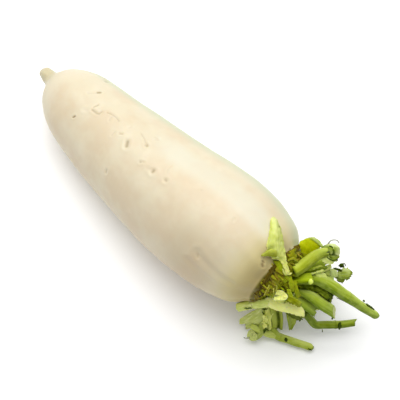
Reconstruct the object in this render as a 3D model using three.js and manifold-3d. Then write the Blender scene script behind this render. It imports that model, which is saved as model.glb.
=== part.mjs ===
// A daikon radish, lying on its side as it would on a table: a stout white root with a nub of a tail at one
// end and, at the other, a crown of leaf stalks that were hacked off short when it was picked.
//
// Millimetres, +Z up. +X runs along the root from the tail to the crown, and z = 0 is the table. The origin
// is on the table under the radish's centre of mass, in the middle of the narrow patch that it rests on.
//
// The root, with its tail and the low dome of its crown, grew as one solid. Every leaf stalk, leaf remnant,
// dry scale and tendril that stands on the crown is a solid of its own, trimmed where it meets what it grows
// from.
import * as THREE from "three";
import { mergeVertices } from "three/addons/utils/BufferGeometryUtils.js";
import Module from "manifold-3d";

const wasm = await Module();
wasm.setup();

// ---- driving dimensions ----

const ROOT_LENGTH = 262; // tail tip to the rim of the crown
const CROWN_X = 103; // where the rim of the crown lies
const CROWN_Y = 2.5;
const CROWN_RISE = 9; // how far the crown's dome stands out of its rim
const ROOT_SIDES = 36; // facets round the root
const GAP = 0.3; // clearance between pieces that touch
const STALK_STEP = 6; // length of one step along a stalk

// The root's outline: distance from the tail tip, and radius there. The first five rows are the nub of the
// tail.
const ROOT_OUTLINE = [
  [0, 0],
  [1, 3.1],
  [4, 4.9],
  [8.5, 5.8],
  [12.5, 6.7],
  [17, 10.8],
  [23, 17.8],
  [31, 23.4],
  [41, 28.4],
  [54, 32],
  [80, 35.3],
  [111, 38.6],
  [145, 42],
  [179, 45],
  [205, 45.8],
  [226, 43.9],
  [241, 40.2],
  [253, 35.2],
  [262, 26.5],
];

// How far the root's middle line bows sideways from the middle of the crown, at each distance from the tail
// tip.
const ROOT_BOW = [
  [0, 0],
  [41, -1.7],
  [93, -4],
  [158, -4.4],
  [210, -1.3],
  [271, 0],
];

// How high the middle line runs over the table. In the belly of the root it is 0.8 below the radius, and the
// table trims that away: it is the narrow flat patch that the root rests on.
const ROOT_MIDDLE_HEIGHT = [
  [0, 28.8],
  [41, 31.5],
  [80, 34.6],
  [111, 37.8],
  [145, 41.2],
  [179, 44.2],
  [205, 46.6],
  [241, 50.5],
  [271, 53.5],
];

// The leaf stalks. A route's points are measured from the middle of the crown's rim: how far ahead of it, how
// far to its left, and how high over the table. Widths are spread evenly along the route. depth is the
// thickness over the width, hollow is how deep the inner face is dished, face is where this face looks, and
// slant tips the far cut. Where two stalks cross, the later one is trimmed, so the uppermost come first.
const STALKS = [
  { name: "folded_back_sheath", width: [5.5, 7, 9, 10.5, 9, 4.5], depth: 0.3, hollow: 0,
    face: [0.3, -0.3, 0.9],
    route: [[9, 1, 62], [10, 0.5, 71], [6, 1.5, 79.5], [-1, 3, 86], [-10, 8.5, 90.5], [-19, 16.5, 92]] },
  { name: "top_stalk", width: [8.8, 8.6, 8.6, 8.2, 7.6, 6.4], depth: 0.8, hollow: 0.06,
    route: [
      [8, 2, 66], [13.5, 9, 71.5], [15.2, 18, 73.5], [16.5, 24.5, 75], [18.5, 28.5, 76.5], [20.5, 31, 77],
    ] },
  { name: "level_stub", width: [8, 8.4], depth: 0.9, hollow: 0.04, slant: -0.2,
    route: [[7, -1, 54], [13, 2, 60], [19, 8, 63.5], [24, 13, 63.5]] },
  { name: "long_stalk", width: [8, 9, 9.6, 8.4, 7.2, 6], depth: 0.85, hollow: 0.08, slant: 0.2,
    route: [
      [7, 4, 46], [19, 13, 55], [25, 18, 57], [34, 22, 54], [46, 27, 46], [58, 33, 35], [71.5, 39.5, 25],
    ] },
  { name: "pale_stub", width: [9, 10], depth: 0.6, hollow: 0.02, face: [0.6, 0, 0.8],
    route: [[6, -7, 50], [12, -10, 56], [16.5, -10.5, 59.5]] },
  { name: "split_stalk", width: [5, 9, 10, 8], depth: 0.35, hollow: 0, face: [0.3, -0.4, 0.9],
    route: [[7, -14, 50], [15, -15.5, 51.5], [24, -10, 49.5], [35, -3.4, 43]] },
  { name: "broad_stalk", width: [7, 8, 8.8, 9, 8], depth: 0.6, hollow: 0.08, slant: -0.35,
    route: [[9, 3, 44], [24, 5, 51], [30, 8, 49], [39, 11, 44], [48, 15, 37]] },
  { name: "centre_stub", width: [7, 7], depth: 0.9, hollow: 0.15,
    route: [[8, -4, 49], [15, -3, 53], [21, -1, 54]] },
  { name: "middle_stalk", width: [9, 10, 10, 8], depth: 0.5, hollow: 0.06,
    route: [[9, -6, 42], [18, -3, 46], [25, 1, 45], [32, 4, 41], [38, 6, 36]] },
  { name: "elbow_stalk", width: [7, 6.6, 6.4, 5.8, 5.4, 5.4], depth: 0.85, hollow: 0.05, slant: 0.4,
    route: [
      [9, -4, 37], [22, -2, 40], [30, 1, 36], [37, 2, 28], [43, 4, 20], [47, 9, 17.5], [56, 19, 17],
      [62, 27, 17],
    ] },
  { name: "broad_sheath", width: [9, 13, 14, 8], depth: 0.25, hollow: 0.1, face: [0.4, -0.4, 0.8],
    route: [[4, 17, 54], [5, 24, 61], [6.5, 30, 64], [9, 36.5, 64]] },
  { name: "pale_cut_stalk", width: [7, 8, 7.5], depth: 0.7, hollow: 0.05, slant: -0.2,
    route: [[8, 7, 52], [15, 16, 58], [19, 22, 60.5], [22.5, 27.5, 61.5]] },
  { name: "leafy_stalk", width: [7, 7, 6], depth: 0.75, hollow: 0.05, slant: 0.1,
    route: [[8, 11, 48], [16, 17, 54.5], [22, 22, 57], [28, 28, 54.5]] },
  { name: "left_stub", width: [7, 7.4, 7.4, 7, 6.6], depth: 0.85, hollow: 0.05, face: [-0.2, 0.3, -0.9],
    route: [[9, -8, 53], [12.5, -16, 51], [8, -21, 47], [3, -24.5, 41], [-3.5, -31.5, 34]] },
  { name: "torn_stalk", width: [7, 6, 4], depth: 0.6, hollow: 0.1, face: [0.7, -0.4, 0.6],
    route: [[8, -9, 39], [13, -15, 34], [15, -19, 26], [18, -21, 17], [19, -22, 10]] },
  { name: "low_broad_stalk", width: [8, 12, 13, 11], depth: 0.4, hollow: 0.1, face: [0.5, -0.7, 0.5],
    route: [[7, -12, 36], [11, -17, 29], [9, -22, 20], [6, -27, 13], [4, -30, 9]] },
  { name: "floor_stub", width: [7, 7, 7.4, 7.8, 8.4], depth: 0.9, hollow: 0.1,
    route: [[8, -7, 33], [13, -15, 24], [16, -22.5, 14], [15.8, -28.5, 8], [14.7, -33, 9]] },
  { name: "floor_stalk", width: [6, 6, 6, 5.8, 5.8], depth: 0.9, hollow: 0.05,
    route: [
      [9, -1, 32], [16, -8, 20], [19, -17, 10.5], [26, -19, 6.8], [35, -15, 6], [46, -9, 5], [52, -6, 4.6],
    ] },
  { name: "wide_down_stalk", width: [8, 9, 8], depth: 0.45, hollow: 0.15, face: [0.8, -0.3, 0.5],
    route: [[8, -6, 40], [14, -11, 37], [18, -13, 28], [21, -14, 18], [23, -15, 7]] },
  { name: "narrow_down_stalk", width: [7, 8, 7, 2.5], depth: 0.5, hollow: 0.1, face: [0.8, -0.3, 0.5],
    route: [[9, 0, 37], [20, -3, 39], [26, -6, 30], [29, -7, 19], [31, -9, 8]] },
  { name: "back_stalk_high", width: [8, 7], depth: 0.75, hollow: 0.08, slant: 0.3,
    route: [[5, 17, 48], [9, 26, 47], [14, 35, 43], [18, 43, 38]] },
  { name: "back_stalk_middle", width: [9, 7], depth: 0.7, hollow: 0.08, slant: -0.3,
    route: [[6, 14, 41], [11, 24, 34], [20, 33, 23], [28, 40, 14]] },
  { name: "back_stalk_low", width: [8, 6.5], depth: 0.8, hollow: 0.08,
    route: [[8, 5, 36], [14, 11, 28], [22, 15, 18], [32, 18, 8]] },
  { name: "back_stub_low", width: [8, 7], depth: 0.6, hollow: 0.1, face: [0.8, 0.4, 0.4],
    route: [[6, 10, 34], [8, 18, 26], [9, 26, 16], [10, 31, 8]] },
];

// Scraps of leaf blade, measured from the middle of the rim in the same way.
const LEAF_SCRAPS = [
  { name: "curled_lobe", at: [22, 34.5, 73.5], size: [10.5, 10], thick: 5, lobes: 3, turn: [20, 30, 30] },
  { name: "ragged_lobe", at: [35.6, 36.4, 51.3], size: [10, 9.5], thick: 1.6, lobes: 7, turn: [20, -10, 40] },
  { name: "dark_lobe", at: [35.3, 32, 48.8], size: [8, 5], thick: 1.6, lobes: 4, turn: [-20, 25, 30] },
  { name: "leaf_crumb", at: [30.2, 37, 56], size: [4, 3.6], thick: 2.4, lobes: 3, turn: [0, 30, 0] },
  { name: "dark_shred", at: [33, 14, 47], size: [11, 4.5], thick: 1.4, lobes: 3, turn: [30, 20, 10] },
  { name: "low_shred", at: [30, -6, 35], size: [9, 4.5], thick: 1.4, lobes: 5, turn: [-40, 10, 30] },
  { name: "sheath_flap", at: [-6, -2.5, 86], size: [10, 4.5], thick: 1.2, lobes: 3, turn: [0, 15, 50] },
  { name: "stalk_crust", at: [62.8, 37.8, 33], size: [8, 2.4], thick: 1.6, lobes: 3, turn: [0, 38, 27] },
];

// Thin strips and curling tendrils of skin.
const STRIPS = [
  { name: "curled_tendril", width: [1, 1, 0.8], depth: 0.9, hollow: 0,
    route: [[16.5, 35, 76], [16.5, 38, 78], [19, 41, 78], [21.5, 41.5, 76]] },
  { name: "crumb_tendril", width: [1, 0.9], depth: 0.9, hollow: 0,
    route: [[30.5, 38.7, 57], [31, 40, 57.5], [33, 39.8, 56]] },
  { name: "peeled_strip", width: [1.6, 1.3, 0.8], depth: 0.6, hollow: 0,
    route: [[53, 28, 37.5], [47, 25.5, 39], [42, 23, 40]] },
  { name: "stub_tendril", width: [1.1, 0.9], depth: 0.9, hollow: 0,
    route: [[14.2, -35.2, 9], [12.5, -37.5, 9], [11, -38.5, 9]] },
];

// The withered bases of the first leaves, in a frill round the rim.
const DRY_SCALES = 11;
const FIRST_SCALE_ANGLE = -20; // degrees round the crown from its left side, over the top
const SCALE_TURN = 28; // from one scale to the next
const SCALE_RING = 24; // the frill's radius
const SCALE_RING_ASIDE = 2.5; // its middle, from the middle of the rim
const SCALE_RING_UP = 1.5;
const SCALE_WIDTH = [9, 8.5, 4];

// ---- the materials ----

const flesh = new THREE.MeshStandardMaterial({ color: 0xeadfc0, roughness: 0.45, metalness: 0 });
const stalkGreen = new THREE.MeshStandardMaterial({ color: 0x9db13c, roughness: 0.4, metalness: 0 });
const stalkPale = new THREE.MeshStandardMaterial({ color: 0xcdd48a, roughness: 0.45, metalness: 0 });
const leafGreen = new THREE.MeshStandardMaterial({ color: 0x4f6b1e, roughness: 0.55, metalness: 0 });
const dryHusk = new THREE.MeshStandardMaterial({ color: 0x8d7a33, roughness: 0.8, metalness: 0 });
const PALE_STALKS = ["folded_back_sheath", "pale_stub", "split_stalk", "pale_cut_stalk", "torn_stalk"];

// ---- solids ----

// A smooth curve through a table's rows, read by its first column.
function smoothTable(rows) {
  const curve = new THREE.SplineCurve(rows.map((row) => new THREE.Vector2(...row)));
  const samples = curve.getPoints(rows.length * 12);
  return (at) => {
    const next = samples.findIndex((sample) => sample.x >= at);
    if (next === 0) return samples[0].y;
    if (next < 0) return samples[samples.length - 1].y;
    const [before, after] = [samples[next - 1], samples[next]];
    return THREE.MathUtils.mapLinear(at, before.x, after.x, before.y, after.y);
  };
}

// A closed three.js geometry as a manifold-3d solid.
function toSolid(geometry) {
  geometry.deleteAttribute("normal");
  geometry.deleteAttribute("uv");
  const merged = mergeVertices(geometry, 1e-4);
  const vertProperties = new Float32Array(merged.attributes.position.array);
  const triVerts = new Uint32Array(merged.index.array);
  return new wasm.Manifold(new wasm.Mesh({ numProp: 3, vertProperties, triVerts }));
}

function toGeometry(solid) {
  const mesh = solid.getMesh();
  const geometry = new THREE.BufferGeometry();
  geometry.setAttribute("position", new THREE.BufferAttribute(mesh.vertProperties, 3));
  geometry.setIndex(new THREE.BufferAttribute(mesh.triVerts, 1));
  geometry.computeVertexNormals();
  return geometry;
}

// Of the bodies that a cut leaves, the largest.
function largestBody(solid) {
  return solid.decompose().sort((a, b) => b.volume() - a.volume())[0];
}

// A point given by its place ahead of the crown's rim, to the left of its middle, and over the table.
function fromCrown([ahead, aside, height]) {
  return new THREE.Vector3(CROWN_X + ahead, CROWN_Y + aside, height);
}

// ---- the root ----

const bowAt = smoothTable(ROOT_BOW);
const middleHeightAt = smoothTable(ROOT_MIDDLE_HEIGHT);

// The root's outline from the tail tip, closed over the crown by a quarter ellipse.
function rootProfile(extra) {
  const outline = ROOT_OUTLINE.map(([station, radius]) => new THREE.Vector2(radius, station));
  const rim = ROOT_OUTLINE[ROOT_OUTLINE.length - 1][1];
  const side = new THREE.SplineCurve(outline).getPoints(2 * (outline.length - 1));
  const dome = new THREE.EllipseCurve(0, ROOT_LENGTH, rim, CROWN_RISE, 0, Math.PI / 2).getPoints(4).slice(1);
  const profile = [...side, ...dome];
  for (const point of profile) point.x += extra;
  profile[0].set(0, -extra);
  profile[profile.length - 1].set(0, ROOT_LENGTH + CROWN_RISE + extra);
  return profile;
}

// The turned outline, bent along the root's middle line. extra makes it that much larger all over.
function rootSolid(extra) {
  const geometry = new THREE.LatheGeometry(rootProfile(extra), ROOT_SIDES);
  const position = geometry.attributes.position;
  for (let i = 0; i < position.count; i++) {
    const station = position.getY(i);
    const x = CROWN_X - ROOT_LENGTH + station;
    const y = CROWN_Y + bowAt(station) + position.getZ(i);
    position.setXYZ(i, x, y, middleHeightAt(station) + position.getX(i));
  }
  return toSolid(geometry);
}

const table = toSolid(new THREE.BoxGeometry(600, 300, 60).translate(0, 0, -30));
const rootClearance = rootSolid(GAP);

// ---- stalks, leaf scraps and scales ----

// A leaf stalk's section, one unit wide: round at the back, and flat or dished on its inner face.
function stalkSection(depth, hollow) {
  const section = new THREE.Shape();
  section.moveTo(-0.5, depth * 0.18);
  section.bezierCurveTo(-0.48, -depth * 0.62, 0.48, -depth * 0.62, 0.5, depth * 0.18);
  section.bezierCurveTo(0.42, depth * 0.62, 0.2, depth * (0.5 - hollow), 0, depth * (0.45 - hollow));
  section.bezierCurveTo(-0.2, depth * (0.5 - hollow), -0.42, depth * 0.62, -0.5, depth * 0.18);
  return section;
}

// The width at a share of the way along, with the widths spread evenly.
function widthAt(widths, share) {
  const place = share * (widths.length - 1);
  const before = Math.min(Math.floor(place), widths.length - 2);
  return THREE.MathUtils.lerp(widths[before], widths[before + 1], place - before);
}

// The section carried along its route. extra makes the stalk that much larger all over.
function stalkSolid({ route, width, depth, hollow, face = [0, 0, 1], slant = 0 }, extra) {
  const path = new THREE.CatmullRomCurve3(route.map(fromCrown), false, "centripetal");
  const steps = Math.max(3, Math.round(path.getLength() / STALK_STEP));
  const straight = { depth: 1, steps, bevelEnabled: false, curveSegments: 4 };
  const geometry = new THREE.ExtrudeGeometry(stalkSection(depth, hollow), straight);
  const position = geometry.attributes.position;
  const looking = new THREE.Vector3(...face);
  for (let i = 0; i < position.count; i++) {
    const share = position.getZ(i);
    const wide = widthAt(width, share);
    const tangent = path.getTangentAt(share);
    const side = new THREE.Vector3().crossVectors(looking, tangent).normalize();
    const up = new THREE.Vector3().crossVectors(tangent, side);
    const aside = position.getX(i) * (wide + 2 * extra);
    const over = position.getY(i) * (wide + (2 * extra) / depth);
    const past = share === 1 ? extra + slant * aside : share === 0 ? -extra : 0;
    const point = path.getPointAt(share);
    point.addScaledVector(side, aside).addScaledVector(up, over).addScaledVector(tangent, past);
    position.setXYZ(i, point.x, point.y, point.z);
  }
  return toSolid(geometry);
}

// A scrap of leaf blade: an ellipse with a waved edge, cut from a sheet and turned about its middle.
const SCRAP_POINTS = 20;
const SCRAP_WAVE = 0.12;
function scrapSolid({ at, size, thick, lobes, turn }, extra) {
  const outline = [];
  for (let i = 0; i < SCRAP_POINTS; i++) {
    const angle = (i / SCRAP_POINTS) * 2 * Math.PI;
    const reach = 1 + SCRAP_WAVE * Math.sin(lobes * angle);
    const across = (size[0] / 2 + extra) * reach * Math.cos(angle);
    outline.push(new THREE.Vector2(across, (size[1] / 2 + extra) * reach * Math.sin(angle)));
  }
  const sheet = { depth: thick + 2 * extra, bevelEnabled: false };
  const geometry = new THREE.ExtrudeGeometry(new THREE.Shape(outline), sheet);
  geometry.translate(0, 0, -thick / 2 - extra);
  const turned = new THREE.Euler(...turn.map(THREE.MathUtils.degToRad), "ZYX");
  geometry.applyMatrix4(new THREE.Matrix4().makeRotationFromEuler(turned));
  geometry.translate(...fromCrown(at).toArray());
  return toSolid(geometry);
}

// A dry scale stands just inside the rim and leans outwards.
function dryScale(number) {
  const angle = THREE.MathUtils.degToRad(FIRST_SCALE_ANGLE + number * SCALE_TURN);
  const stand = (ahead, reach) => [
    ahead,
    SCALE_RING_ASIDE + Math.cos(angle) * reach,
    middleHeightAt(ROOT_LENGTH) + SCALE_RING_UP + Math.sin(angle) * reach,
  ];
  return {
    name: `dry_scale_${number + 1}`,
    width: SCALE_WIDTH,
    depth: 0.28,
    hollow: 0,
    face: [0, Math.cos(angle), Math.sin(angle)],
    route: [stand(-1, SCALE_RING - 2), stand(3, SCALE_RING), stand(7, SCALE_RING), stand(11, SCALE_RING - 2)],
  };
}

// ---- assembly ----

const daikon = new THREE.Group();
const clearances = [table, rootClearance];

function addMesh(name, solid, material) {
  const mesh = new THREE.Mesh(toGeometry(solid), material);
  mesh.name = name;
  daikon.add(mesh);
}

// Adds a piece, trimmed clear of the table, the root and every piece before it. makeSolid takes how much
// larger than its true size the piece is made, so that later pieces keep their gap.
function addTrimmed(name, makeSolid, material) {
  let solid = makeSolid(0);
  for (const clearance of clearances) solid = solid.subtract(clearance);
  addMesh(name, largestBody(solid), material);
  clearances.push(makeSolid(GAP));
}

addMesh("root", rootSolid(0).subtract(table), flesh);
for (const stalk of STALKS) {
  const material = PALE_STALKS.includes(stalk.name) ? stalkPale : stalkGreen;
  addTrimmed(stalk.name, (extra) => stalkSolid(stalk, extra), material);
}
for (const scrap of LEAF_SCRAPS) {
  addTrimmed(scrap.name, (extra) => scrapSolid(scrap, extra), leafGreen);
}
for (const strip of STRIPS) {
  addTrimmed(strip.name, (extra) => stalkSolid(strip, extra), dryHusk);
}
for (let number = 0; number < DRY_SCALES; number++) {
  const scale = dryScale(number);
  addTrimmed(scale.name, (extra) => stalkSolid(scale, extra), dryHusk);
}

export default daikon;
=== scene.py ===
import math

import bpy
import numpy
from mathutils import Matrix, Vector
from mathutils.bvhtree import BVHTree


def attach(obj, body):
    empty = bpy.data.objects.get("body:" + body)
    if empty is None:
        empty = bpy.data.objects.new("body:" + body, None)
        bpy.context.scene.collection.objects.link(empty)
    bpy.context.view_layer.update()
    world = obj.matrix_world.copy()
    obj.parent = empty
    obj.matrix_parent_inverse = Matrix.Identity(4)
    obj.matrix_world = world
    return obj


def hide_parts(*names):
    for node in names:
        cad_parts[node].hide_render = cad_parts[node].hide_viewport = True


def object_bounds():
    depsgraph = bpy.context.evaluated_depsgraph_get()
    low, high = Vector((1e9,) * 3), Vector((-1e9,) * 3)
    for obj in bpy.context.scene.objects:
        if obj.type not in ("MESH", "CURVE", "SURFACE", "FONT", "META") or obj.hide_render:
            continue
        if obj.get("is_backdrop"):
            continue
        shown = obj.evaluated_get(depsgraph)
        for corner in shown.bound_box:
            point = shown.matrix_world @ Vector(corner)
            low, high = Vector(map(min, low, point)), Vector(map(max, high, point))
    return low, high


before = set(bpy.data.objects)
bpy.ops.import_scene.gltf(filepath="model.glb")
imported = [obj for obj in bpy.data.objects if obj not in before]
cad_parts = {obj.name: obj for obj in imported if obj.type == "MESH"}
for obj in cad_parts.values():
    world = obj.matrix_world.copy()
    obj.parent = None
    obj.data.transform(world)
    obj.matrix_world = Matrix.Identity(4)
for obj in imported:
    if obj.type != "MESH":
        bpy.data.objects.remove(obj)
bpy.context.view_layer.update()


# ---- The root ----
# The thick white root that grew as one piece: a nub of a tail, a long belly and a low dome that the leaves
# grew from. Its skin is smooth and faintly glossy over translucent flesh, with pits and creases where fine
# side roots broke off. It lies on its belly, pressed flat where it meets the table.

MM = 0.001
ROOT_RINGS = 380
ROOT_SIDES = 250
CLOSER_ON_TOP = 0.35  # the mesh is this much finer on the upper side than on average
SIDES_OF_A_RING = 12  # a cut of the frame's root with fewer corners than this isn't one of its rings
OFF_THE_FLAT = 0.5  # corners lower than this are on the flat that the root lies on
PLACES_A_SPAN = 30
OUTLINE_PLACES = 6000
CLOSED = 0.02  # the radius, or the share of a radius, at which a skin counts as closed
WAVES = 8  # that add up to one field of unevenness
SWELLS = [(0.3, 60, 3), (0.12, 22, 4)]  # the skin's own: how high, how far apart, and the seed
RINGING = 0.04  # how high the fine rings round the skin stand
SHOULDER, SHOULDER_LENGTH, SHOULDER_RIDGES = 238, 24, 13
NUB_LENGTH = 16
PRESSED = 0.4  # how softly the belly turns into the flat


def smooth_line(points, count):
    """That many places, evenly spaced, on a centripetal Catmull-Rom curve through the points. The curve
    follows the first three columns, and any further ones are carried along with them."""
    points = numpy.array(points, float)
    ends = 2 * points[[0, -1]] - points[[1, -2]]
    held = numpy.vstack([ends[:1], points, ends[1:]])
    gap = numpy.sqrt(numpy.linalg.norm(numpy.diff(held[:, :3], axis=0), axis=1)) + 1e-9
    fine = []
    for i in range(1, len(held) - 2):
        before, here, after = gap[i - 1], gap[i], gap[i + 1]
        a, b, c, d = held[i - 1 : i + 3]
        leave = here * ((b - a) / before - (c - a) / (before + here) + (c - b) / here)
        arrive = here * ((c - b) / here - (d - b) / (here + after) + (d - c) / after)
        t = numpy.linspace(0, 1, PLACES_A_SPAN, endpoint=False)[:, None]
        fine.append(
            b * (2 * t**3 - 3 * t**2 + 1) + leave * (t**3 - 2 * t**2 + t)
            + c * (3 * t**2 - 2 * t**3) + arrive * (t**3 - t**2)
        )
    fine = numpy.vstack([*fine, held[-2:-1]])
    run = numpy.r_[0, numpy.cumsum(numpy.linalg.norm(numpy.diff(fine[:, :3], axis=0), axis=1))]
    wanted = numpy.linspace(0, run[-1], count)
    return numpy.stack([numpy.interp(wanted, run, column) for column in fine.T], axis=1)


def unit(vectors):
    """The vectors brought to a length of one."""
    return vectors / (numpy.linalg.norm(vectors, axis=-1, keepdims=True) + 1e-12)


def unevenness(places, span, seed):
    """A smooth random field from about -1 to 1, with its hills about span apart."""
    dice = numpy.random.default_rng(seed)
    total = 0
    for _ in range(WAVES):
        way = unit(dice.normal(size=3)) * (2 * math.pi / span) * dice.uniform(0.6, 1.5)
        total = total + numpy.sin(places @ way + dice.uniform(0, 2 * math.pi))
    return 2 * total / WAVES


def frame_rings(node):
    """Middle and radius of each ring of the frame's root, as x, y, z and radius from tail to crown."""
    corners = numpy.array([corner.co for corner in node.data.vertices]) / MM
    rings = []
    for x in sorted(set(corners[:, 0].round(2))):
        ring = corners[(abs(corners[:, 0] - x) < 0.01) & (corners[:, 2] > OFF_THE_FLAT)]
        ring = numpy.unique(ring.round(2), axis=0)
        if len(ring) < SIDES_OF_A_RING:
            continue
        known = numpy.c_[2 * ring[:, 1:], numpy.ones(len(ring))]
        y, z, rest = numpy.linalg.lstsq(known, (ring[:, 1:] ** 2).sum(axis=1), rcond=None)[0]
        rings.append([x, y, z, math.sqrt(rest + y * y + z * z)])
    tip, top = corners[corners[:, 0].argmin()], corners[corners[:, 0].argmax()]
    return numpy.array([[*tip, 0], *rings, [*top, 0]])


def skin_over(name, *skins):
    """A smooth-shaded mesh over grids of points in millimetres, each with one row for each ring."""
    corners, faces = [], []
    for rings in skins:
        first = sum(len(kept) for kept in corners)
        corner = numpy.arange(rings[..., 0].size).reshape(rings.shape[:2]) + first
        beside = numpy.roll(corner, -1, axis=1)
        sides = numpy.stack([corner[:-1], beside[:-1], beside[1:], corner[1:]], axis=-1)
        faces.append(sides.reshape(-1, 4))
        corners.append(rings.reshape(-1, 3))
    mesh = bpy.data.meshes.new(name)
    mesh.from_pydata(numpy.concatenate(corners) * MM, [], numpy.concatenate(faces).tolist())
    mesh.validate()
    mesh.shade_smooth()
    return stand(name, mesh)


def stand(name, content):
    """Stands a mesh, a lamp or a camera in the scene under that name."""
    thing = bpy.data.objects.new(name, content)
    bpy.context.scene.collection.objects.link(thing)
    return thing


def mark(piece, name, values):
    """Keeps a number for each corner of the mesh, for its material to read."""
    kept = piece.data.attributes.new(name, "FLOAT", "POINT")
    kept.data.foreach_set("value", numpy.asarray(values, numpy.float32).ravel())


root_rings = frame_rings(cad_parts["root"])
outline = numpy.c_[root_rings[:, 0], root_rings[:, 3], 0 * root_rings[:, 0], root_rings[:, 1:3]]
below_tip = outline[1] * [1, -1, 1, 1, 1]
below_top = outline[-2] * [1, -1, 1, 1, 1]
tail_end = root_rings[0, 0]

# The fine outline starts and ends on the axis, so the skin closes to a point at the tail and over the crown.
fine = smooth_line(numpy.vstack([below_tip, outline, below_top]), OUTLINE_PLACES)
first, last = numpy.argmax(fine[:, 1] > 0), len(fine) - 1 - numpy.argmax(fine[::-1, 1] > 0)
fine = fine[first : last + 1]
fine = fine[numpy.linspace(0, len(fine) - 1, ROOT_RINGS).round().astype(int)]
fine[[0, -1], 1] = CLOSED
x, radius, _, middle_y, middle_z = fine.T[:, :, None]

turn = numpy.linspace(0, 2 * math.pi, ROOT_SIDES, endpoint=False)[None, :]
around = turn - CLOSER_ON_TOP * numpy.sin(turn)
around = numpy.where(around > math.pi, around - 2 * math.pi, around)
degrees = numpy.degrees(around) + 0 * x
station = x - tail_end + 0 * around

root_skin = numpy.stack([
    x + 0 * around,
    middle_y + radius * numpy.sin(around),
    middle_z + radius * numpy.cos(around),
], axis=-1)
slope = numpy.gradient(radius[:, 0], x[:, 0] + 1e-6 * numpy.arange(ROOT_RINGS))[:, None]
out = unit(numpy.stack([-slope + 0 * around, numpy.sin(around) + 0 * x, numpy.cos(around) + 0 * x], axis=-1))

# Creases and pits: each a line of (station from the tail, degrees round from the top towards the back), how
# deep and how wide it is in millimetres, and how brown.
SCARS = [
    ([(70, 18), (69, 15)], 0.55, 0.9, 0.8),
    ([(69, 12), (66, 7), (64, 4)], 0.25, 0.6, 0.25),
    ([(78, -4), (79, 2)], 0.4, 0.6, 0.55),
    ([(79, -8), (84, -7.5), (86, -6), (86, -2)], 0.4, 0.7, 0.5),
    ([(71, -29), (70, -32)], 0.5, 0.5, 1.0),
    ([(75, -13), (73, -15)], 0.2, 0.9, 0.2),
    ([(90, 2), (94, 4), (98, 4.5), (101, 4), (103, 3)], 0.4, 0.55, 0.45),
    ([(96, 2), (96, -2), (97, -4)], 0.3, 0.6, 0.3),
    ([(108, -15), (108, -10)], 0.25, 0.6, 0.3),
    ([(112, -8), (114, -6)], 0.35, 0.6, 0.45),
    ([(113, 4), (114, 6), (113, 8)], 0.25, 0.6, 0.25),
    ([(124, -13), (123, -11), (122, -9)], 0.55, 1.2, 0.7),
    ([(124, 8), (129, 6), (134, 2.5), (136, 1)], 0.35, 0.5, 0.4),
    ([(135, 2), (136, 1)], 0.5, 0.8, 0.6),
    ([(134, 15), (136, 16), (138, 15), (136, 13)], 0.25, 0.7, 0.3),
    ([(142, -16), (142.5, -16)], 0.35, 0.7, 0.5),
    ([(144, -14), (144.5, -14)], 0.25, 0.6, 0.35),
    ([(155, -15.5), (155, -14)], 0.5, 1.1, 0.65),
    ([(150, -16), (153, -15)], 0.15, 0.9, 0.2),
    ([(162, 1), (162, -4), (164, -8)], 0.2, 0.5, 0.25),
    ([(167, -14), (168, -14)], 0.4, 0.9, 0.5),
    ([(123, -47), (124, -50)], 0.3, 0.7, 0.5),
    ([(60, 44), (60, 48)], 0.3, 1.2, 0.5),
    ([(198, 17), (198, 13), (200, 10)], 0.15, 0.6, 0.1),
    ([(224, -3), (225, -5)], 0.25, 0.5, 0.2),
    ([(192, -2), (192.5, -2)], 0.2, 0.5, 0.3),
    ([(221, -51), (222, -53)], 0.3, 0.7, 0.35),
    ([(220, -49), (226, -52), (232, -54), (242, -58), (250, -59)], 0.45, 1.6, 0.1),
    ([(216, -62), (230, -67), (238, -69)], 0.3, 1.4, 0.05),
    ([(258, -18), (259, -20)], 0.4, 0.6, 1.0),
    ([(257, -15), (258, -15)], 0.3, 0.5, 1.0),
]
DEEPER, WIDER, PALER = 1.3, 1.4, 0.85  # the skin takes them this much deeper, wider and paler than listed
HIDDEN_SCARS = 26  # the same sort of scars run down the far side and underneath, in rows
HIDDEN_ROWS = [168, 100, -130]  # degrees round from the top
LIP_AT, LIP_HEIGHT = 2.2, 0.5  # a scar's lip, in widths from its line and as a share of its depth


def scar(line, deep, wide):
    """How far one scar lifts or sinks each place of the skin, and how near the place is to its floor."""
    line = numpy.array(line, float)
    reach = numpy.interp(line.mean(axis=0)[0], fine[:, 0] - tail_end, fine[:, 1])
    mm_round = math.radians(1) * reach
    places = numpy.stack([station, degrees * mm_round], axis=-1)
    line = line * [1, mm_round]
    nearest = numpy.full(station.shape, numpy.inf)
    for start, end in zip(line[:-1], line[1:]):
        way = end - start
        share = numpy.clip((places - start) @ way / (way @ way + 1e-9), 0, 1)[..., None]
        nearest = numpy.minimum(nearest, numpy.linalg.norm(places - start - share * way, axis=-1))
    pit = numpy.exp(-((nearest / wide) ** 2))
    lip = numpy.exp(-(((nearest - LIP_AT * wide) / wide) ** 2))
    return deep * (LIP_HEIGHT * lip - pit), pit


scars = [(line, DEEPER * deep, WIDER * wide, PALER * tone) for line, deep, wide, tone in SCARS]
dice = numpy.random.default_rng(11)
for _ in range(HIDDEN_SCARS):
    at = dice.uniform(45, 215)
    side = dice.choice(HIDDEN_ROWS) + dice.normal(0, 12)
    across = side + dice.uniform(1, 6)
    tone = dice.uniform(0.2, 0.8)
    line = [(at, side), (at + dice.normal(0, 2), across)]
    scars.append((line, dice.uniform(0.2, 0.5), dice.uniform(0.5, 1), tone))

raised = sum(high * unevenness(root_skin, span, seed) for high, span, seed in SWELLS)
raised += RINGING * unevenness(root_skin * [1, 0.2, 0.2], 4, 5)
brown = 0 * station
for line, deep, wide, tone in scars:
    sunk, pit = scar(line, deep, wide)
    raised += sunk
    brown = numpy.maximum(brown, tone * pit)

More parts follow.
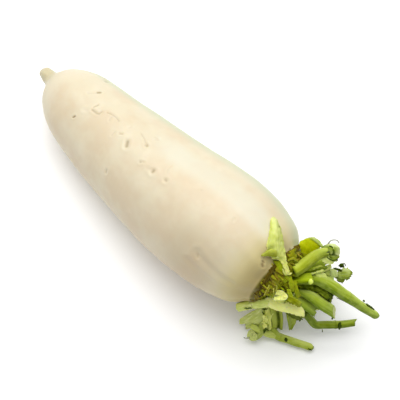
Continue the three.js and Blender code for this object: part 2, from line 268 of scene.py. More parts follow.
# The crown's shoulder is drawn in between low ridges, and the tail's nub is a little pinched.
shoulder = numpy.clip((station - SHOULDER) / SHOULDER_LENGTH, 0, 1)
ridge = numpy.sin(numpy.radians(degrees) * SHOULDER_RIDGES + 2 * unevenness(root_skin, 40, 6))
raised += 0.5 * shoulder * ridge
raised += numpy.clip(1 - station / NUB_LENGTH, 0, 1) * 0.35 * unevenness(root_skin, 6, 7)

# The uneven skin fades out at the two points, and is pressed flat on the table.
root_skin = root_skin + out * (raised * numpy.clip(radius / 3, 0, 1))[..., None]
height = root_skin[..., 2]
root_skin[..., 2] = 0.5 * (height + numpy.sqrt(height**2 + PRESSED**2))

root = skin_over("white_root", root_skin)
mark(root, "scar", brown)
mark(root, "station", station)
mark(root, "around", degrees)


def paint(red, green, blue):
    """A colour named by its 0-255 screen values, as the shaders take it."""
    linear = [((v / 255 + 0.055) / 1.055) ** 2.4 if v > 10 else v / 255 / 12.92 for v in (red, green, blue)]
    return (*linear, 1)


class Finish:
    """A material being mixed: its shader, the tone laid on so far, and short names for the nodes that feed
    them. A colour is another node's, or a tuple of its 0-255 screen values."""

    def __init__(self, name, rough, tone, **settings):
        self.material = bpy.data.materials.new(name)
        self.material.use_nodes = True
        self.tree = self.material.node_tree
        self.shader = self.tree.nodes["Principled BSDF"]
        self.tone = tone
        self.shader.inputs["Roughness"].default_value = rough
        for socket, value in settings.items():
            self.shader.inputs[socket.replace("_", " ")].default_value = value

    def feed(self, socket, value):
        if hasattr(value, "is_output"):
            self.tree.links.new(value, socket)
        else:
            socket.default_value = value

    def add(self, kind, output, inputs, **choices):
        """Adds a node with its choices made and its inputs fed, and gives the output wanted from it."""
        node = self.tree.nodes.new("ShaderNode" + kind)
        for choice, value in choices.items():
            setattr(node, choice, value)
        for socket, value in inputs.items():
            self.feed(node.inputs[socket], value)
        return node.outputs[output]

    def read(self, name, output="Fac"):
        return self.add("Attribute", output, {}, attribute_name=name)

    def stretched(self, coordinates, stretch):
        return self.add("Mapping", "Vector", {"Vector": coordinates, "Scale": stretch})

    def place(self, stretch=(1, 1, 1)):
        return self.stretched(self.add("TexCoord", "Object", {}), stretch)

    def grain(self, stretch):
        """The coordinates that run along a stalk and round it."""
        return self.stretched(self.read("grain", "Vector"), stretch)

    def clouds(self, across, place=None, detail=3):
        """Noise whose blots are about that many millimetres across."""
        scale = 1 / (across * MM)
        inputs = {"Vector": place or self.place(), "Scale": scale, "Detail": detail, "Roughness": 0.55}
        return self.add("TexNoise", "Fac", inputs)

    def rise(self, value, low, high, start=0, end=1):
        """The value taken smoothly from low-high to start-end, and held there beyond."""
        inputs = {"Value": value, "From Min": low, "From Max": high, "To Min": start, "To Max": end}
        return self.add("MapRange", "Result", inputs, interpolation_type="SMOOTHSTEP")

    def by(self, name, low, high, start=0, end=1):
        """The same for a number that is kept at each corner of the mesh."""
        return self.rise(self.read(name), low, high, start, end)

    def times(self, product, *others):
        for other in others:
            product = self.add("Math", "Value", {0: product, 1: other}, operation="MULTIPLY")
        return product

    def blend(self, share, under, over):
        under, over = (paint(*tone) if isinstance(tone, tuple) else tone for tone in (under, over))
        return self.add("Mix", "Result", {"Factor": share, "A": under, "B": over}, data_type="RGBA")

    def lay(self, share, over):
        """Lays a colour over the tone, as far as the share goes."""
        self.tone = self.blend(share, self.tone, over)

    def bump(self, height, deep):
        normal = self.shader.inputs["Normal"]
        inputs = {"Distance": deep * MM, "Height": height}
        if normal.is_linked:
            inputs["Normal"] = normal.links[0].from_socket
        self.feed(normal, self.add("Bump", "Normal", inputs))

    def put_on(self, piece):
        self.feed(self.shader.inputs["Base Color"], self.tone)
        piece.data.materials.clear()
        piece.data.materials.append(self.material)


CREAM = (224, 213, 185)
WARM_CREAM = (220, 204, 174)
PALE_SCUFF = (248, 240, 218)
GREEN_CREAM = (216, 206, 164)
CROWN_TAN_AND_SHADE = (206, 191, 134)
FLANK_SHADE_TAN = (190, 168, 128)
NEAR_SIDE_SHADE_BROWN = (160, 138, 84)
DOME_DARK, DOME_OLIVE = (100, 90, 4), (140, 134, 12)
TAIL_YELLOW = (204, 194, 158)
FAR_RIM_SHADE_GREEN = (198, 204, 168)
CROWDED_SHADE_BROWN = (96, 84, 24)
SHEEN_CREAM = (225, 222, 202)
SCAR_BROWN = (150, 128, 84)

# Each tone is laid on by the station, in millimetres from the tail, and by degrees round from the top.
flesh = Finish("root_skin", rough=0.42, tone=CREAM, Subsurface_Weight=0.25, Subsurface_Scale=0.004,
               Coat_Weight=0.05, Coat_Roughness=0.3, Specular_IOR_Level=0.25)
flesh.shader.inputs["Subsurface Radius"].default_value = (1.0, 0.75, 0.45)
flesh.lay(flesh.rise(flesh.clouds(34), 0.4, 0.62), WARM_CREAM)
flesh.lay(flesh.rise(flesh.clouds(13, detail=2), 0.5, 0.75, 0, 0.12), PALE_SCUFF)
flesh.lay(flesh.times(flesh.by("station", 222, 262), 0.8), GREEN_CREAM)
# Towards the crown the skin turns tan, most on the near side; this tan also stands in for the shade that the
# frill and stalks cast on the shoulder.
flesh.lay(flesh.times(flesh.by("station", 236, 259), flesh.by("around", 42, 8, 0.45, 1)), CROWN_TAN_AND_SHADE)
# The lower flank on the near side is painted a darker tan: painted shade on the side away from the light.
below_crown = flesh.times(flesh.by("station", 185, 210), flesh.by("station", 246, 228))
flesh.lay(flesh.times(flesh.by("around", -12, -48), below_crown, 0.4), FLANK_SHADE_TAN)
# Painted shade: the near side by the crown's rim is darkened brown under the overhanging stalks.
flesh.lay(flesh.times(flesh.by("around", -2, -40), flesh.by("station", 250, 262), 0.45), NEAR_SIDE_SHADE_BROWN)
flesh.lay(flesh.by("station", 262.5, 264.5),
          flesh.blend(flesh.rise(flesh.clouds(3), 0.35, 0.65), DOME_DARK, DOME_OLIVE))
flesh.lay(flesh.by("station", 34, 10, 0, 0.85), TAIL_YELLOW)
# The far side is painted grey-green: painted shade and reflection of the darker rim along its edge.
flesh.lay(flesh.by("around", 34, 58, 0, 0.8), FAR_RIM_SHADE_GREEN)
# Painted shade: the skin is darkened brown where the crown's pieces crowd over it.
flesh.lay(flesh.by("occlusion_shade", 0.25, 0.9, 0, 0.75), CROWDED_SHADE_BROWN)
# A paler, cooler band along the upper side, where the sheen runs down the root: a painted highlight.
sheen_band = flesh.times(flesh.by("around", -3, 10), flesh.by("around", 34, 20))
sheen_band = flesh.times(sheen_band, flesh.by("station", 120, 160), flesh.by("station", 256, 246))
flesh.lay(flesh.times(sheen_band, 0.6), SHEEN_CREAM)
flesh.lay(flesh.by("scar", 0.05, 0.9, 0, 0.9), SCAR_BROWN)
flesh.bump(flesh.clouds(1.6, detail=4), 0.05)
flesh.bump(flesh.clouds(1.2, flesh.place((1, 0.15, 0.15))), 0.04)
flesh.put_on(root)
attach(root, "root")
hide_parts("root")


# ---- The leaf stalks ----
# Thick, juicy leaf stalks, round at the back and lightly dished on the inner face. They grew out of the crown
# and were hacked or snapped off short, so a far end shows its pale pith, or has torn, or has withered shut.

CROWN_RIM = numpy.array([103, 2.5, 0])  # the middle of the crown's rim, dropped to the table
STALK_STEP = 0.5
STALK_SIDES = 56
END_REACH = 4.5  # how far back a slanting or ragged end pulls the rings
CUT_BEVEL = 0.5
PITH_RINGS = (0.93, 0.84, 0.68, 0.45, 0.2, CLOSED)
RIB_HEIGHT = 0.004  # for each millimetre of the stalk's width
WITHERED_IN = 0.62  # how far a withered end draws in, as a share of its width
JOINT_SWELL, JOINT_LINE = 1.1, 0.45  # how far a joint's swelling and its dark line reach
CLEAR = 0.12  # how far over the table a skin stays
SHIFT = 900  # how far apart each seed's grain lies in the noise, so that no two skins have the same streaks

# Sections, as points in widths of the stalk: first across it, then towards its inner face.
ROUND_BACKED = [(-0.5, 0.1), (-0.43, -0.17), (-0.24, -0.39), (0, -0.46), (0.24, -0.39), (0.43, -0.17),
                (0.5, 0.1), (0.4, 0.34), (0.22, 0.42), (0, 0.4), (-0.22, 0.42), (-0.4, 0.34)]
GROOVED = [(-0.5, 0.3), (-0.46, -0.1), (-0.26, -0.38), (0, -0.46), (0.26, -0.38), (0.46, -0.1),
           (0.5, 0.3), (0.44, 0.46), (0.24, 0.3), (0, 0.16), (-0.24, 0.3), (-0.44, 0.46)]
DEEP_GROOVE = [(-0.5, 0.2), (-0.46, -0.1), (-0.26, -0.38), (0, -0.46), (0.26, -0.38), (0.46, -0.1),
               (0.5, 0.3), (0.44, 0.5), (0.32, 0.4), (0.14, -0.05), (-0.06, 0.3), (-0.38, 0.4)]


def closed_line(points, count):
    """Places evenly spaced round a smooth closed curve through the points."""
    flat = numpy.c_[numpy.array(points, float), numpy.zeros(len(points))]
    wrapped = numpy.vstack([flat[-3:], flat, flat[:4]])
    line = smooth_line(wrapped, 60 * len(wrapped))[:, :2]
    half = len(line) // 2
    from_first = numpy.linalg.norm(line - flat[0, :2], axis=1)
    start, end = numpy.argmin(from_first[:half]), half + numpy.argmin(from_first[half:])
    return line[numpy.linspace(start, end, count, endpoint=False).round().astype(int)]


def ease(value):
    """The value held between 0 and 1, and eased in and out."""
    value = numpy.clip(value, 0, 1)
    return value * value * (3 - 2 * value)


def stalk(route, width, section=ROUND_BACKED, depth=0.85, face=(0, 0, 1), end="cut", slant=0.0, tilt=0.0,
          torn=0.3, joints=(), stains=(), dish=0.5, wilt=0.12, tint=0.5, seed=1):
    """The skin of a stalk: its section carried along the route, a little ribbed and uneven, and closed at its
    ends. Joints are (share of the way along, swelling), and stains are (share, degrees round, radius,
    strength)."""
    length = numpy.linalg.norm(numpy.diff(smooth_line(route, 200), axis=0), axis=1).sum()
    count = max(12, int(length / STALK_STEP))
    middle = smooth_line(CROWN_RIM + numpy.array(route, float), count)[:, None]
    share = numpy.linspace(0, 1, count)[:, None]
    knots = numpy.c_[numpy.linspace(0, 1, len(width)) * 10, width, numpy.zeros(len(width))]
    knots = smooth_line(knots, 200)
    wide = numpy.interp(share, knots[:, 0] / 10, knots[:, 1])
    along = unit(numpy.gradient(middle[:, 0], axis=0))[:, None]
    side = unit(numpy.cross(numpy.array(face, float), along))
    up = numpy.cross(along, side)

    outline = closed_line(section, STALK_SIDES)
    circle = numpy.linspace(0, 2 * math.pi, STALK_SIDES, endpoint=False)
    from_end = (1 - share) * length
    withered = end == "withered"
    tip = wide[-1, 0]
    rounding, drawn_in = (tip * 0.6, WITHERED_IN) if withered else (CUT_BEVEL, CUT_BEVEL / tip)
    grown = 1 - drawn_in * (1 - numpy.clip(from_end / rounding, 0, 1)) ** 2.2
    for place, swell in joints:
        grown = grown * (1 + swell * numpy.exp(-(((share - place) * length / JOINT_SWELL) ** 2)))
    across, over = outline[:, 0] * wide * grown, outline[:, 1] * wide * depth * grown
    rings = middle + side * across[..., None] + up * over[..., None]

    # Ribs run along the stalk, strongest on its back, and the whole skin is a little uneven.
    outward = unit(side * (across / wide)[..., None] + up * (over / wide / depth)[..., None])
    roll = numpy.random.default_rng(seed).uniform(0, 6)
    rib = numpy.sin(circle * 11 + roll) + 0.5 * numpy.sin(circle * 23 + 2 * roll)
    rise = RIB_HEIGHT * wide * rib * ease(0.75 - over / wide / depth)
    walk = [share * length + 0 * circle, numpy.cos(circle) * wide, numpy.sin(circle) * wide]
    walk = numpy.stack(walk, axis=-1)
    rise = rise + wilt * unevenness(walk * [0.5, 1, 1], 7, seed)
    rise = rise + 0.3 * wilt * unevenness(walk, 2.2, seed + 1)
    rings = rings + outward * rise[..., None]

    # The far end: slanted by the blade, or ragged where it tore.
    ways = numpy.stack([numpy.cos(circle), numpy.sin(circle), 0 * circle], axis=-1)
    ragged = unevenness(ways, 1.1, seed + 2) + 0.6 * unevenness(ways, 0.35, seed + 3)
    if end == "torn":
        ragged = ragged + 0.9 * unevenness(ways, 0.16, seed + 5)
    reach = min(END_REACH + torn, length / 2)
    pulled = (slant * across + tilt * over + torn * ragged) * ease(1 - from_end / reach)
    rings = rings + along * pulled[..., None]

    far, near = rings[-1], rings[0]
    heart, root_end = far.mean(axis=0), near.mean(axis=0)
    pith, caps = [], []
    for size in PITH_RINGS:
        crumbs = unevenness(far + size, 1.6, seed + 4)[:, None] * 0.16 * (1 - size)
        caps.append(heart + (far - heart) * size + along[-1] * (crumbs - dish * ease(1.3 - 1.3 * size)))
        pith.append(0 if withered else min(1, (1 - size) * 6 + 0.3))
    rings = numpy.concatenate([(root_end + (near - root_end) * CLOSED)[None], rings, caps])
    rings[..., 2] = numpy.maximum(rings[..., 2], CLEAR)

    way = numpy.r_[0, share[:, 0], numpy.ones(len(caps))][:, None]
    thickness = numpy.r_[0, wide[:, 0], numpy.full(len(caps), tip)][:, None]
    stained = numpy.zeros((len(rings), STALK_SIDES))
    if withered:
        stained = stained + 0.75 * ease(1 - (1 - way) * length / 1.2)
    for place, swell in joints:
        line = numpy.exp(-(((way - place) * length / JOINT_LINE) ** 2))
        stained = numpy.maximum(stained, 4 * swell * line)
    for place, degrees_round, radius, strength in stains:
        off = numpy.angle(numpy.exp(1j * (circle - math.radians(degrees_round)))) * thickness / 2
        blot = numpy.exp(-((((way - place) * length) ** 2 + off**2) / radius**2))
        stained = numpy.maximum(stained, strength * blot)
    round_it = numpy.sin(circle) * thickness / 2 + SHIFT * seed
    flat = [way * length + 0 * circle, numpy.cos(circle) * thickness / 2, round_it]
    return {
        "rings": rings,
        "along": way + 0 * circle,
        "inner": numpy.tile(outline[:, 1] / 0.45, (len(rings), 1)),
        "pith": numpy.r_[0, 0 * share[:, 0], pith][:, None] + 0 * circle,
        "stain": stained,
        "tint": numpy.full(stained.shape, float(tint)),
        "grain": numpy.stack(flat, axis=-1) * MM,
    }


PAINTED_LIGHT_WAY = unit(numpy.array([-0.3, 0.55, 0.75]))  # the way that the painted light comes from, for the painted shade and highlight on the skins
crown_pieces = []


def outward_of(rings):
    """The way that each place of a skin faces."""
    beside = numpy.roll(rings, -1, axis=1) - numpy.roll(rings, 1, axis=1)
    return unit(numpy.cross(beside, numpy.gradient(rings, axis=0)))


def softened(values, reach=2):
    """The values blurred over their neighbours along the skin and round it."""
    spread = 2 * reach + 1
    values = sum(numpy.roll(values, step, axis=1) for step in range(-reach, reach + 1)) / spread
    padded = numpy.pad(values, ((reach, reach), (0, 0)), mode="edge")
    return sum(padded[step : step + len(values)] for step in range(spread)) / spread


def plant(name, skins, finish, stands_for=None):
    """Makes one piece of the skins given, and sets it on the root."""
    piece = skin_over(name, *[skin["rings"] for skin in skins])
    for kind in ("along", "inner", "pith", "stain", "tint"):
        mark(piece, kind, numpy.concatenate([skin[kind].ravel() for skin in skins]))
    # How far each place faces the painted light, for the painted shade and painted highlight of its material.
    facing = [softened(outward_of(skin["rings"]) @ PAINTED_LIGHT_WAY) for skin in skins]
    mark(piece, "painted_light_facing", numpy.concatenate([values.ravel() for values in facing]))
    grain = piece.data.attributes.new("grain", "FLOAT_VECTOR", "POINT")
    flat = numpy.concatenate([skin["grain"].reshape(-1, 3) for skin in skins])
    grain.data.foreach_set("vector", flat.astype(numpy.float32).ravel())
    finish.put_on(piece)
    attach(piece, "root")
    if stands_for:
        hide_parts(stands_for)
    crown_pieces.append((piece, skins))


DARK_STAIN = (44, 58, 4)


def rind(name, base, middle, tip, highlight_and_streak, shade, inner=None, pith=(206, 216, 140), rough=0.45, soft=0.25,
         streaky=0.3, gap=(44, 58, 2), turned_away=0.9):
    """The skin of a stalk: its tone changes from base to tip, its inner face may be paler, with faint streaks
    along it. The side turned from the light is painted in shade and the side towards it with a highlight, a
    tint lifts or sinks a whole skin towards those painted colours, and it is painted deep and dull as shade
    where the stalks crowd together."""
    skin = Finish(name, rough, tone=base, Subsurface_Weight=soft, Subsurface_Scale=0.0018,
                  Specular_IOR_Level=0.15)
    skin.shader.inputs["Subsurface Radius"].default_value = (0.8, 1.0, 0.2)
    skin.shader.inputs["Specular Tint"].default_value = (0.9, 1.0, 0.3, 1)
    skin.lay(skin.by("along", 0.0, 0.4), middle)
    skin.lay(skin.by("along", 0.55, 1.0), tip)
    if inner:
        skin.lay(skin.by("inner", 0.1, 0.8), inner)
    # Painted shade on the side turned from the light, and a painted highlight on the side facing it.
    skin.lay(skin.by("painted_light_facing", 0.75, -0.15, 0, turned_away), shade)
    skin.lay(skin.by("painted_light_facing", 0.62, 0.95, 0, 0.75), highlight_and_streak)
    # A tint above a half lifts the whole skin towards its highlight colour, and one below a half sinks it
    # towards its shade colour: painted light and painted shade over a whole piece.
    skin.lay(skin.by("tint", 0.5, 1.0, 0, 0.8), highlight_and_streak)
    skin.lay(skin.by("tint", 0.5, 0.0, 0, 0.8), shade)
    stretched = skin.grain((0.12, 1, 1))
    skin.lay(skin.rise(skin.clouds(1.0, stretched, detail=4), 0.5, 0.68, 0, streaky), highlight_and_streak)
    skin.lay(skin.rise(skin.clouds(1.3, stretched), 0.5, 0.32, 0, streaky), shade)
    skin.lay(skin.rise(skin.clouds(6), 0.45, 0.7, 0, 0.25), highlight_and_streak)
    crumbs = skin.rise(skin.clouds(0.9, detail=4), 0.35, 0.65)
    skin.lay(skin.by("pith", 0.1, 0.5), skin.blend(crumbs, pith, tuple(0.88 * value for value in pith)))
    # Painted shade: the skin sinks to its gap colour where other pieces close it in.
    skin.lay(skin.by("occlusion_shade", 0.35, 0.95, 0, 0.9), gap)
    skin.lay(skin.read("stain"), DARK_STAIN)
    skin.bump(skin.clouds(0.7, skin.grain((0.1, 1, 1)), detail=4), 0.1)
    skin.bump(skin.clouds(0.5), 0.05)
    return skin


LEAF_GREEN = rind("leaf_green_rind", (194, 210, 62), (168, 188, 54), (170, 190, 84), (200, 214, 112),
                  (102, 128, 8), pith=(212, 220, 140))
BRIGHT_YELLOW = rind("yellow_green_rind", (166, 178, 38), (162, 174, 44), (166, 182, 76), (192, 202, 92),
                     (116, 132, 8), streaky=0.25)
DEEP_GREEN = rind("deep_green_rind", (138, 156, 8), (136, 156, 16), (142, 162, 36), (172, 188, 80),
                  (84, 106, 0), inner=(144, 162, 40), pith=(166, 180, 104))
PALE_GREEN = rind("pale_green_rind", (200, 212, 96), (212, 220, 118), (220, 226, 132), (236, 240, 170),
                  (176, 190, 70), gap=(130, 146, 20), streaky=0.6)
SOFT_GREEN = rind("soft_green_rind", (166, 180, 40), (168, 184, 58), (178, 192, 78), (208, 218, 118),
                  (132, 150, 20), inner=(172, 188, 62), gap=(76, 92, 4))
OLIVE_GREEN = rind("olive_green_rind", (142, 164, 2), (166, 188, 8), (160, 180, 20), (178, 198, 44),
                   (104, 124, 0), pith=(206, 216, 124))
LEAF_END = rind("leafy_stalk_rind", (104, 124, 4), (150, 168, 48), (176, 192, 84), (196, 208, 112),
                (92, 114, 4), pith=(176, 190, 108))
LEFT_PALE = rind("left_stub_rind", (242, 254, 128), (238, 252, 122), (228, 240, 118), (250, 255, 180),
                 (168, 186, 44), gap=(192, 208, 70), streaky=0.5, turned_away=0.7)
FLOOR_PALE = rind("floor_stub_rind", (178, 190, 80), (184, 196, 96), (200, 210, 120), (226, 232, 160),
                  (140, 156, 50), pith=(208, 218, 132), gap=(90, 104, 10), turned_away=0.6)
# Dark where the inner face sinks into its groove and pale on the ridges beside it: the dark in the groove is
# painted shade.
GROOVE_GREEN = rind("grooved_rind", (96, 112, 4), (96, 112, 4), (104, 120, 8), (186, 200, 88),
                    (80, 96, 0), inner=(174, 186, 70), gap=(72, 88, 0), turned_away=0.15, streaky=0.2)
DOWN = (0, 0, -1)
GREEN_STALKS = [
    dict(name="top_stalk", finish=BRIGHT_YELLOW, width=[8.8, 8.6, 8.6, 8.2, 7.6, 6.4], depth=0.8, face=DOWN,
         end="torn", torn=0.9, seed=3,
         route=[[12.6, 5, 72], [14, 11, 72], [15.2, 18, 73.5], [16.5, 24.5, 75], [18.5, 28.5, 76.5],
                [20.5, 31, 77]]),
    dict(name="level_stub", finish=OLIVE_GREEN, width=[8, 8.4], depth=0.9, slant=-0.2, seed=4,
         route=[[7, -1, 54], [13, 2, 60], [19, 8, 63.5], [24, 13, 63.5]]),
    dict(name="long_stalk", finish=LEAF_GREEN, width=[8, 9, 9.6, 8.4, 7.2, 6], face=DOWN, end="withered",
         joints=[(0.62, 0.05)], stains=[(0.86, 20, 1.5, 0.8), (0.9, 10, 1.2, 0.7)], wilt=0.2, seed=5,
         route=[[7, 4, 46], [19, 13, 55], [25, 18, 57], [34, 22, 54], [46, 27, 46], [58, 33, 35],
                [71.5, 39.5, 25]]),
    dict(name="broad_stalk", finish=LEAF_GREEN, width=[2.5, 3.5, 7.8, 9.2, 8.4], depth=0.6, face=DOWN,
         slant=0.35, tilt=1.6, seed=6,
         route=[[9, 3, 44], [24, 5, 51], [30, 8, 49], [39, 11, 44], [48, 15, 37]]),
    dict(name="centre_stub", finish=LEAF_GREEN, width=[7, 7], depth=0.9, section=GROOVED, end="torn", seed=7,
         route=[[8, -4, 49], [15, -3, 53], [21, -1, 54]]),
    dict(name="middle_stalk", finish=LEAF_GREEN, width=[9, 10, 10, 8], depth=0.5, end="torn", torn=1.6,
         tint=0.45, seed=8,
         route=[[9, -6, 42], [18, -3, 46], [25, 1, 45], [32, 4, 41], [38, 6, 36]]),
    dict(name="elbow_stalk", finish=DEEP_GREEN, width=[7, 6.6, 6.4, 6, 5.8, 5.4], depth=0.9, face=DOWN,
         end="torn", torn=0.6, slant=-0.4, dish=0.7, joints=[(0.8, 0.1)], tint=0.6, seed=9,
         route=[[9, -4, 37], [22, -2, 40], [30, 1, 36], [37, 2, 28], [43, 4, 20], [47, 9, 17.5],
                [56, 19, 17], [62, 27, 17]]),
    dict(name="leafy_stalk", finish=LEAF_END, width=[7, 7, 6], depth=0.75, end="torn", torn=1, slant=0.1,
         tint=0.65, seed=10,
         route=[[8, 11, 48], [16, 17, 54.5], [22, 22, 57], [28, 28, 54.5]]),
    dict(name="left_stub", finish=LEFT_PALE, width=[7, 7.4, 7.4, 7, 6.6], face=(-0.2, 0.3, -0.9),
         joints=[(0.62, 0.12)], tint=0.7, seed=11,
         # The rows of stains along its top and bottom are painted shade on its rounded edges; the one at 130
         # degrees is a mark by its joint.
         stains=[(0.66, 130, 1.2, 0.6), *[(share, 180, 1.2, 0.35) for share in (0.74, 0.84, 0.94)],
                 *[(share, 0, 1.2, 0.4) for share in (0.36, 0.46, 0.56)]],
         route=[[9, -8, 53], [12.5, -16, 51], [8, -21, 47], [3, -24.5, 41], [-3.5, -31.5, 34]]),
    dict(name="low_broad_stalk", finish=PALE_GREEN, width=[8, 12, 13, 11], depth=0.4, face=(0.5, -0.7, 0.5),
         end="torn", torn=1.6, wilt=0.4, tint=0.7, seed=12,
         route=[[7, -12, 36], [11, -17, 29], [9, -22, 20], [6, -27, 13], [4, -30, 9]]),
    dict(name="floor_stub", finish=FLOOR_PALE, width=[7, 7, 7.4, 7.8, 9], depth=0.9, end="torn", torn=0.4,
         dish=0.8, seed=13,
         route=[[8, -7, 33], [13, -15, 24], [16, -22.5, 14], [15.8, -28, 7.5], [14.8, -31.5, 7.6],
                [14.6, -33.4, 10.6]]),
    dict(name="floor_stalk", finish=SOFT_GREEN, width=[6, 6, 6, 5.8, 5.6], depth=0.9, face=DOWN,
         end="withered", joints=[(0.5, 0.04), (0.62, 0.05)], tint=0.65, seed=14,
         route=[[9, -1, 32], [16, -8, 20], [19, -17, 10.5], [26, -19, 6.8], [35, -15, 6], [46, -9, 5],
                [52, -6, 4.6]]),
    dict(name="wide_down_stalk", finish=GROOVE_GREEN, width=[8, 9, 8], depth=0.5, face=(0.3, -0.3, 0.9),
         # The row of stains down its groove is painted shade in the hollow.
         section=DEEP_GROOVE, stains=[(0.1 * step, 262, 1.3, 0.35) for step in range(3, 11)], seed=15,
         route=[[8, -6, 40], [14, -11, 37], [18, -13, 28], [21, -14, 18], [23, -15, 7]]),
    dict(name="narrow_down_stalk", finish=SOFT_GREEN, width=[7, 8, 7, 2.5], depth=0.5, face=(0.8, -0.3, 0.5),
         section=GROOVED, end="torn", seed=16,
         route=[[9, 0, 37], [20, -3, 39], [26, -6, 30], [29, -7, 19], [31, -9, 8]]),
    dict(name="back_stalk_high", finish=LEAF_GREEN, width=[8, 7], depth=0.75, slant=0.3, seed=17,
         route=[[5, 17, 48], [9, 26, 47], [14, 35, 43], [18, 43, 38]]),
    dict(name="back_stalk_middle", finish=LEAF_GREEN, width=[9, 7], depth=0.7, slant=-0.3, seed=18,
         route=[[6, 14, 41], [11, 24, 34], [20, 33, 23], [28, 40, 14]]),
    dict(name="back_stalk_low", finish=DEEP_GREEN, width=[8, 6.5], depth=0.8, end="withered", seed=19,
         route=[[8, 5, 36], [14, 11, 28], [22, 15, 18], [32, 18, 8]]),
    dict(name="back_stub_low", finish=DEEP_GREEN, width=[8, 7], depth=0.6, face=(0.8, 0.4, 0.4),
         section=GROOVED, seed=20,
         route=[[6, 10, 34], [8, 18, 26], [9, 26, 16], [10, 31, 8]]),
]
for shape in GREEN_STALKS:
    name, finish = shape.pop("name"), shape.pop("finish")
    plant(name + "_rind", [stalk(**shape)], finish, name)

floor_foot = stalk([[9, -29, 13], [12.5, -27.5, 12.5], [17, -25, 10.5], [22, -22.5, 8.5], [26, -19, 6.8]],
                   [4, 6.2, 6, 6], depth=0.8, face=DOWN, tint=1.0, seed=22)
plant("foot_of_the_floor_stalk", [floor_foot], SOFT_GREEN)


# ---- The pale stalks ----
# Stalks that grew in the dark between the others, so that they are pale. One was sliced lengthwise, and lies
# open with its flat face up; others are snapped, so that blocks, chips and shreds of pale pith stand on them.

PALE_RIND = rind("pale_rind", (222, 228, 92), (222, 228, 94), (220, 228, 98), (244, 248, 150), (182, 194, 50),
                 soft=0.35, pith=(220, 228, 96), streaky=0.2, gap=(176, 188, 70), turned_away=0.6)
pale_stub = stalk([[6, -7, 50], [12, -10, 56], [16.5, -10.5, 59.5]], [9, 10, 10.5], depth=0.6,
                  face=(0.6, 0, 0.8), end="torn", torn=1, seed=31)
torn_stalk = stalk([[8, -9, 39], [13, -15, 34], [15, -19, 26], [18, -21, 17], [19, -22, 10]], [7, 6, 4],
                   section=GROOVED, depth=0.6, face=(0.7, -0.4, 0.6), end="torn", torn=2, wilt=0.5, tint=0.8,
                   seed=34)
plant("pale_stub_rind", [pale_stub], PALE_RIND, "pale_stub")
plant("torn_stalk_rind", [torn_stalk], PALE_RIND, "torn_stalk")

BLADE_STEP = 0.4
BLADE_ALONG = (10, 90)  # the fewest and the most places along a blade
BLADE_ACROSS = (10, 30)  # and across it
ACROSS_STEP = 0.3
FULL_THICKNESS = 0.5  # how far in from its edge a blade reaches its full thickness, at the least


def blade(lines, thick, ragged=0.3, crinkle=0.15, stains=(), pale_edge=0.0, tint=0.5, seed=1):
    """The skin of a leaf or a scale: a sheet through lines that run along it, side by side, thickened and
    closed at its edges. Stains are (share along, share across, radius, strength), and the tint may differ
    between the first line and the last."""
    lines = [CROWN_RIM + numpy.array(line, float) for line in lines]
    longest = max(numpy.linalg.norm(numpy.diff(line, axis=0), axis=1).sum() for line in lines)
    count = int(numpy.clip(longest / BLADE_STEP, *BLADE_ALONG))
    rows = numpy.stack([smooth_line(line, count) for line in lines], axis=1)
    widest = numpy.linalg.norm(rows[:, -1] - rows[:, 0], axis=1).max()
    across = int(numpy.clip(widest / ACROSS_STEP, *BLADE_ACROSS))
    face = numpy.stack([smooth_line(row, across) for row in rows])
    u = numpy.linspace(0, 1, count)[:, None] + numpy.zeros((1, across))
    v = numpy.linspace(0, 1, across)[None, :] + numpy.zeros((count, 1))
    lengthwise, sideways = numpy.gradient(face, axis=0), numpy.gradient(face, axis=1)
    normal = unit(numpy.cross(lengthwise, sideways))
    length = numpy.linalg.norm(numpy.diff(face[:, across // 2], axis=0), axis=1).sum()
    width = numpy.linalg.norm(numpy.diff(face[count // 2], axis=0), axis=1).sum()

    # The edges are nibbled in and out, and the sheet is crinkled.
    edge = unevenness(face, 2.4, seed) + 0.5 * unevenness(face, 0.9, seed + 1)
    to_side = ease(abs(2 * v - 1) * 2.5 - 1.5) * numpy.sign(v - 0.5)
    to_tip = ease((u - 0.8) * 5)
    face = face + unit(sideways) * (ragged * edge * to_side)[..., None]
    face = face + unit(lengthwise) * (ragged * 1.5 * unevenness(face, 1.3, seed + 2) * to_tip)[..., None]
    ruffle = unevenness(face, 5, seed + 3) + 0.5 * unevenness(face, 1.8, seed + 4)
    face = face + normal * (crinkle * ruffle)[..., None]

    from_side = numpy.minimum(v, 1 - v) * width
    from_end = numpy.minimum(u, 1 - u) * length
    half = thick / 2
    for inward in (from_side, from_end):
        half = half * numpy.sqrt(1 - (1 - numpy.clip(inward / max(FULL_THICKNESS, thick / 2), 0, 1)) ** 2)
    over, under = (face + normal * half[..., None])[:, ::-1], face - normal * half[..., None]
    rings = numpy.concatenate([over, under], axis=1)
    closing = [numpy.repeat(rings[end].mean(axis=0)[None], 2 * across, axis=0) for end in (0, -1)]
    rings = numpy.concatenate([closing[0][None], rings, closing[1][None]])
    rings[..., 2] = numpy.maximum(rings[..., 2], CLEAR)

    def both(values):
        wrapped = numpy.concatenate([values[:, ::-1], values], axis=1)
        return numpy.concatenate([wrapped[:1], wrapped, wrapped[-1:]])

    left, right = numpy.broadcast_to(tint, 2)
    stained = numpy.zeros(u.shape)
    for place_u, place_v, radius, strength in stains:
        away = ((u - place_u) * length) ** 2 + ((v - place_v) * width) ** 2
        stained = numpy.maximum(stained, strength * numpy.exp(-away / radius**2))
    return {
        "rings": rings,
        "along": both(u),
        "inner": numpy.where(numpy.arange(2 * across) < across, 1.0, -1.0) + 0 * both(u),
        "pith": pale_edge * both(1 - ease(from_side / 0.9)),
        "stain": both(stained),
        "tint": both(left + (right - left) * v),
        "grain": numpy.stack([both(u * length), both(v * width), both(0 * u) + SHIFT * seed], axis=-1) * MM,
    }


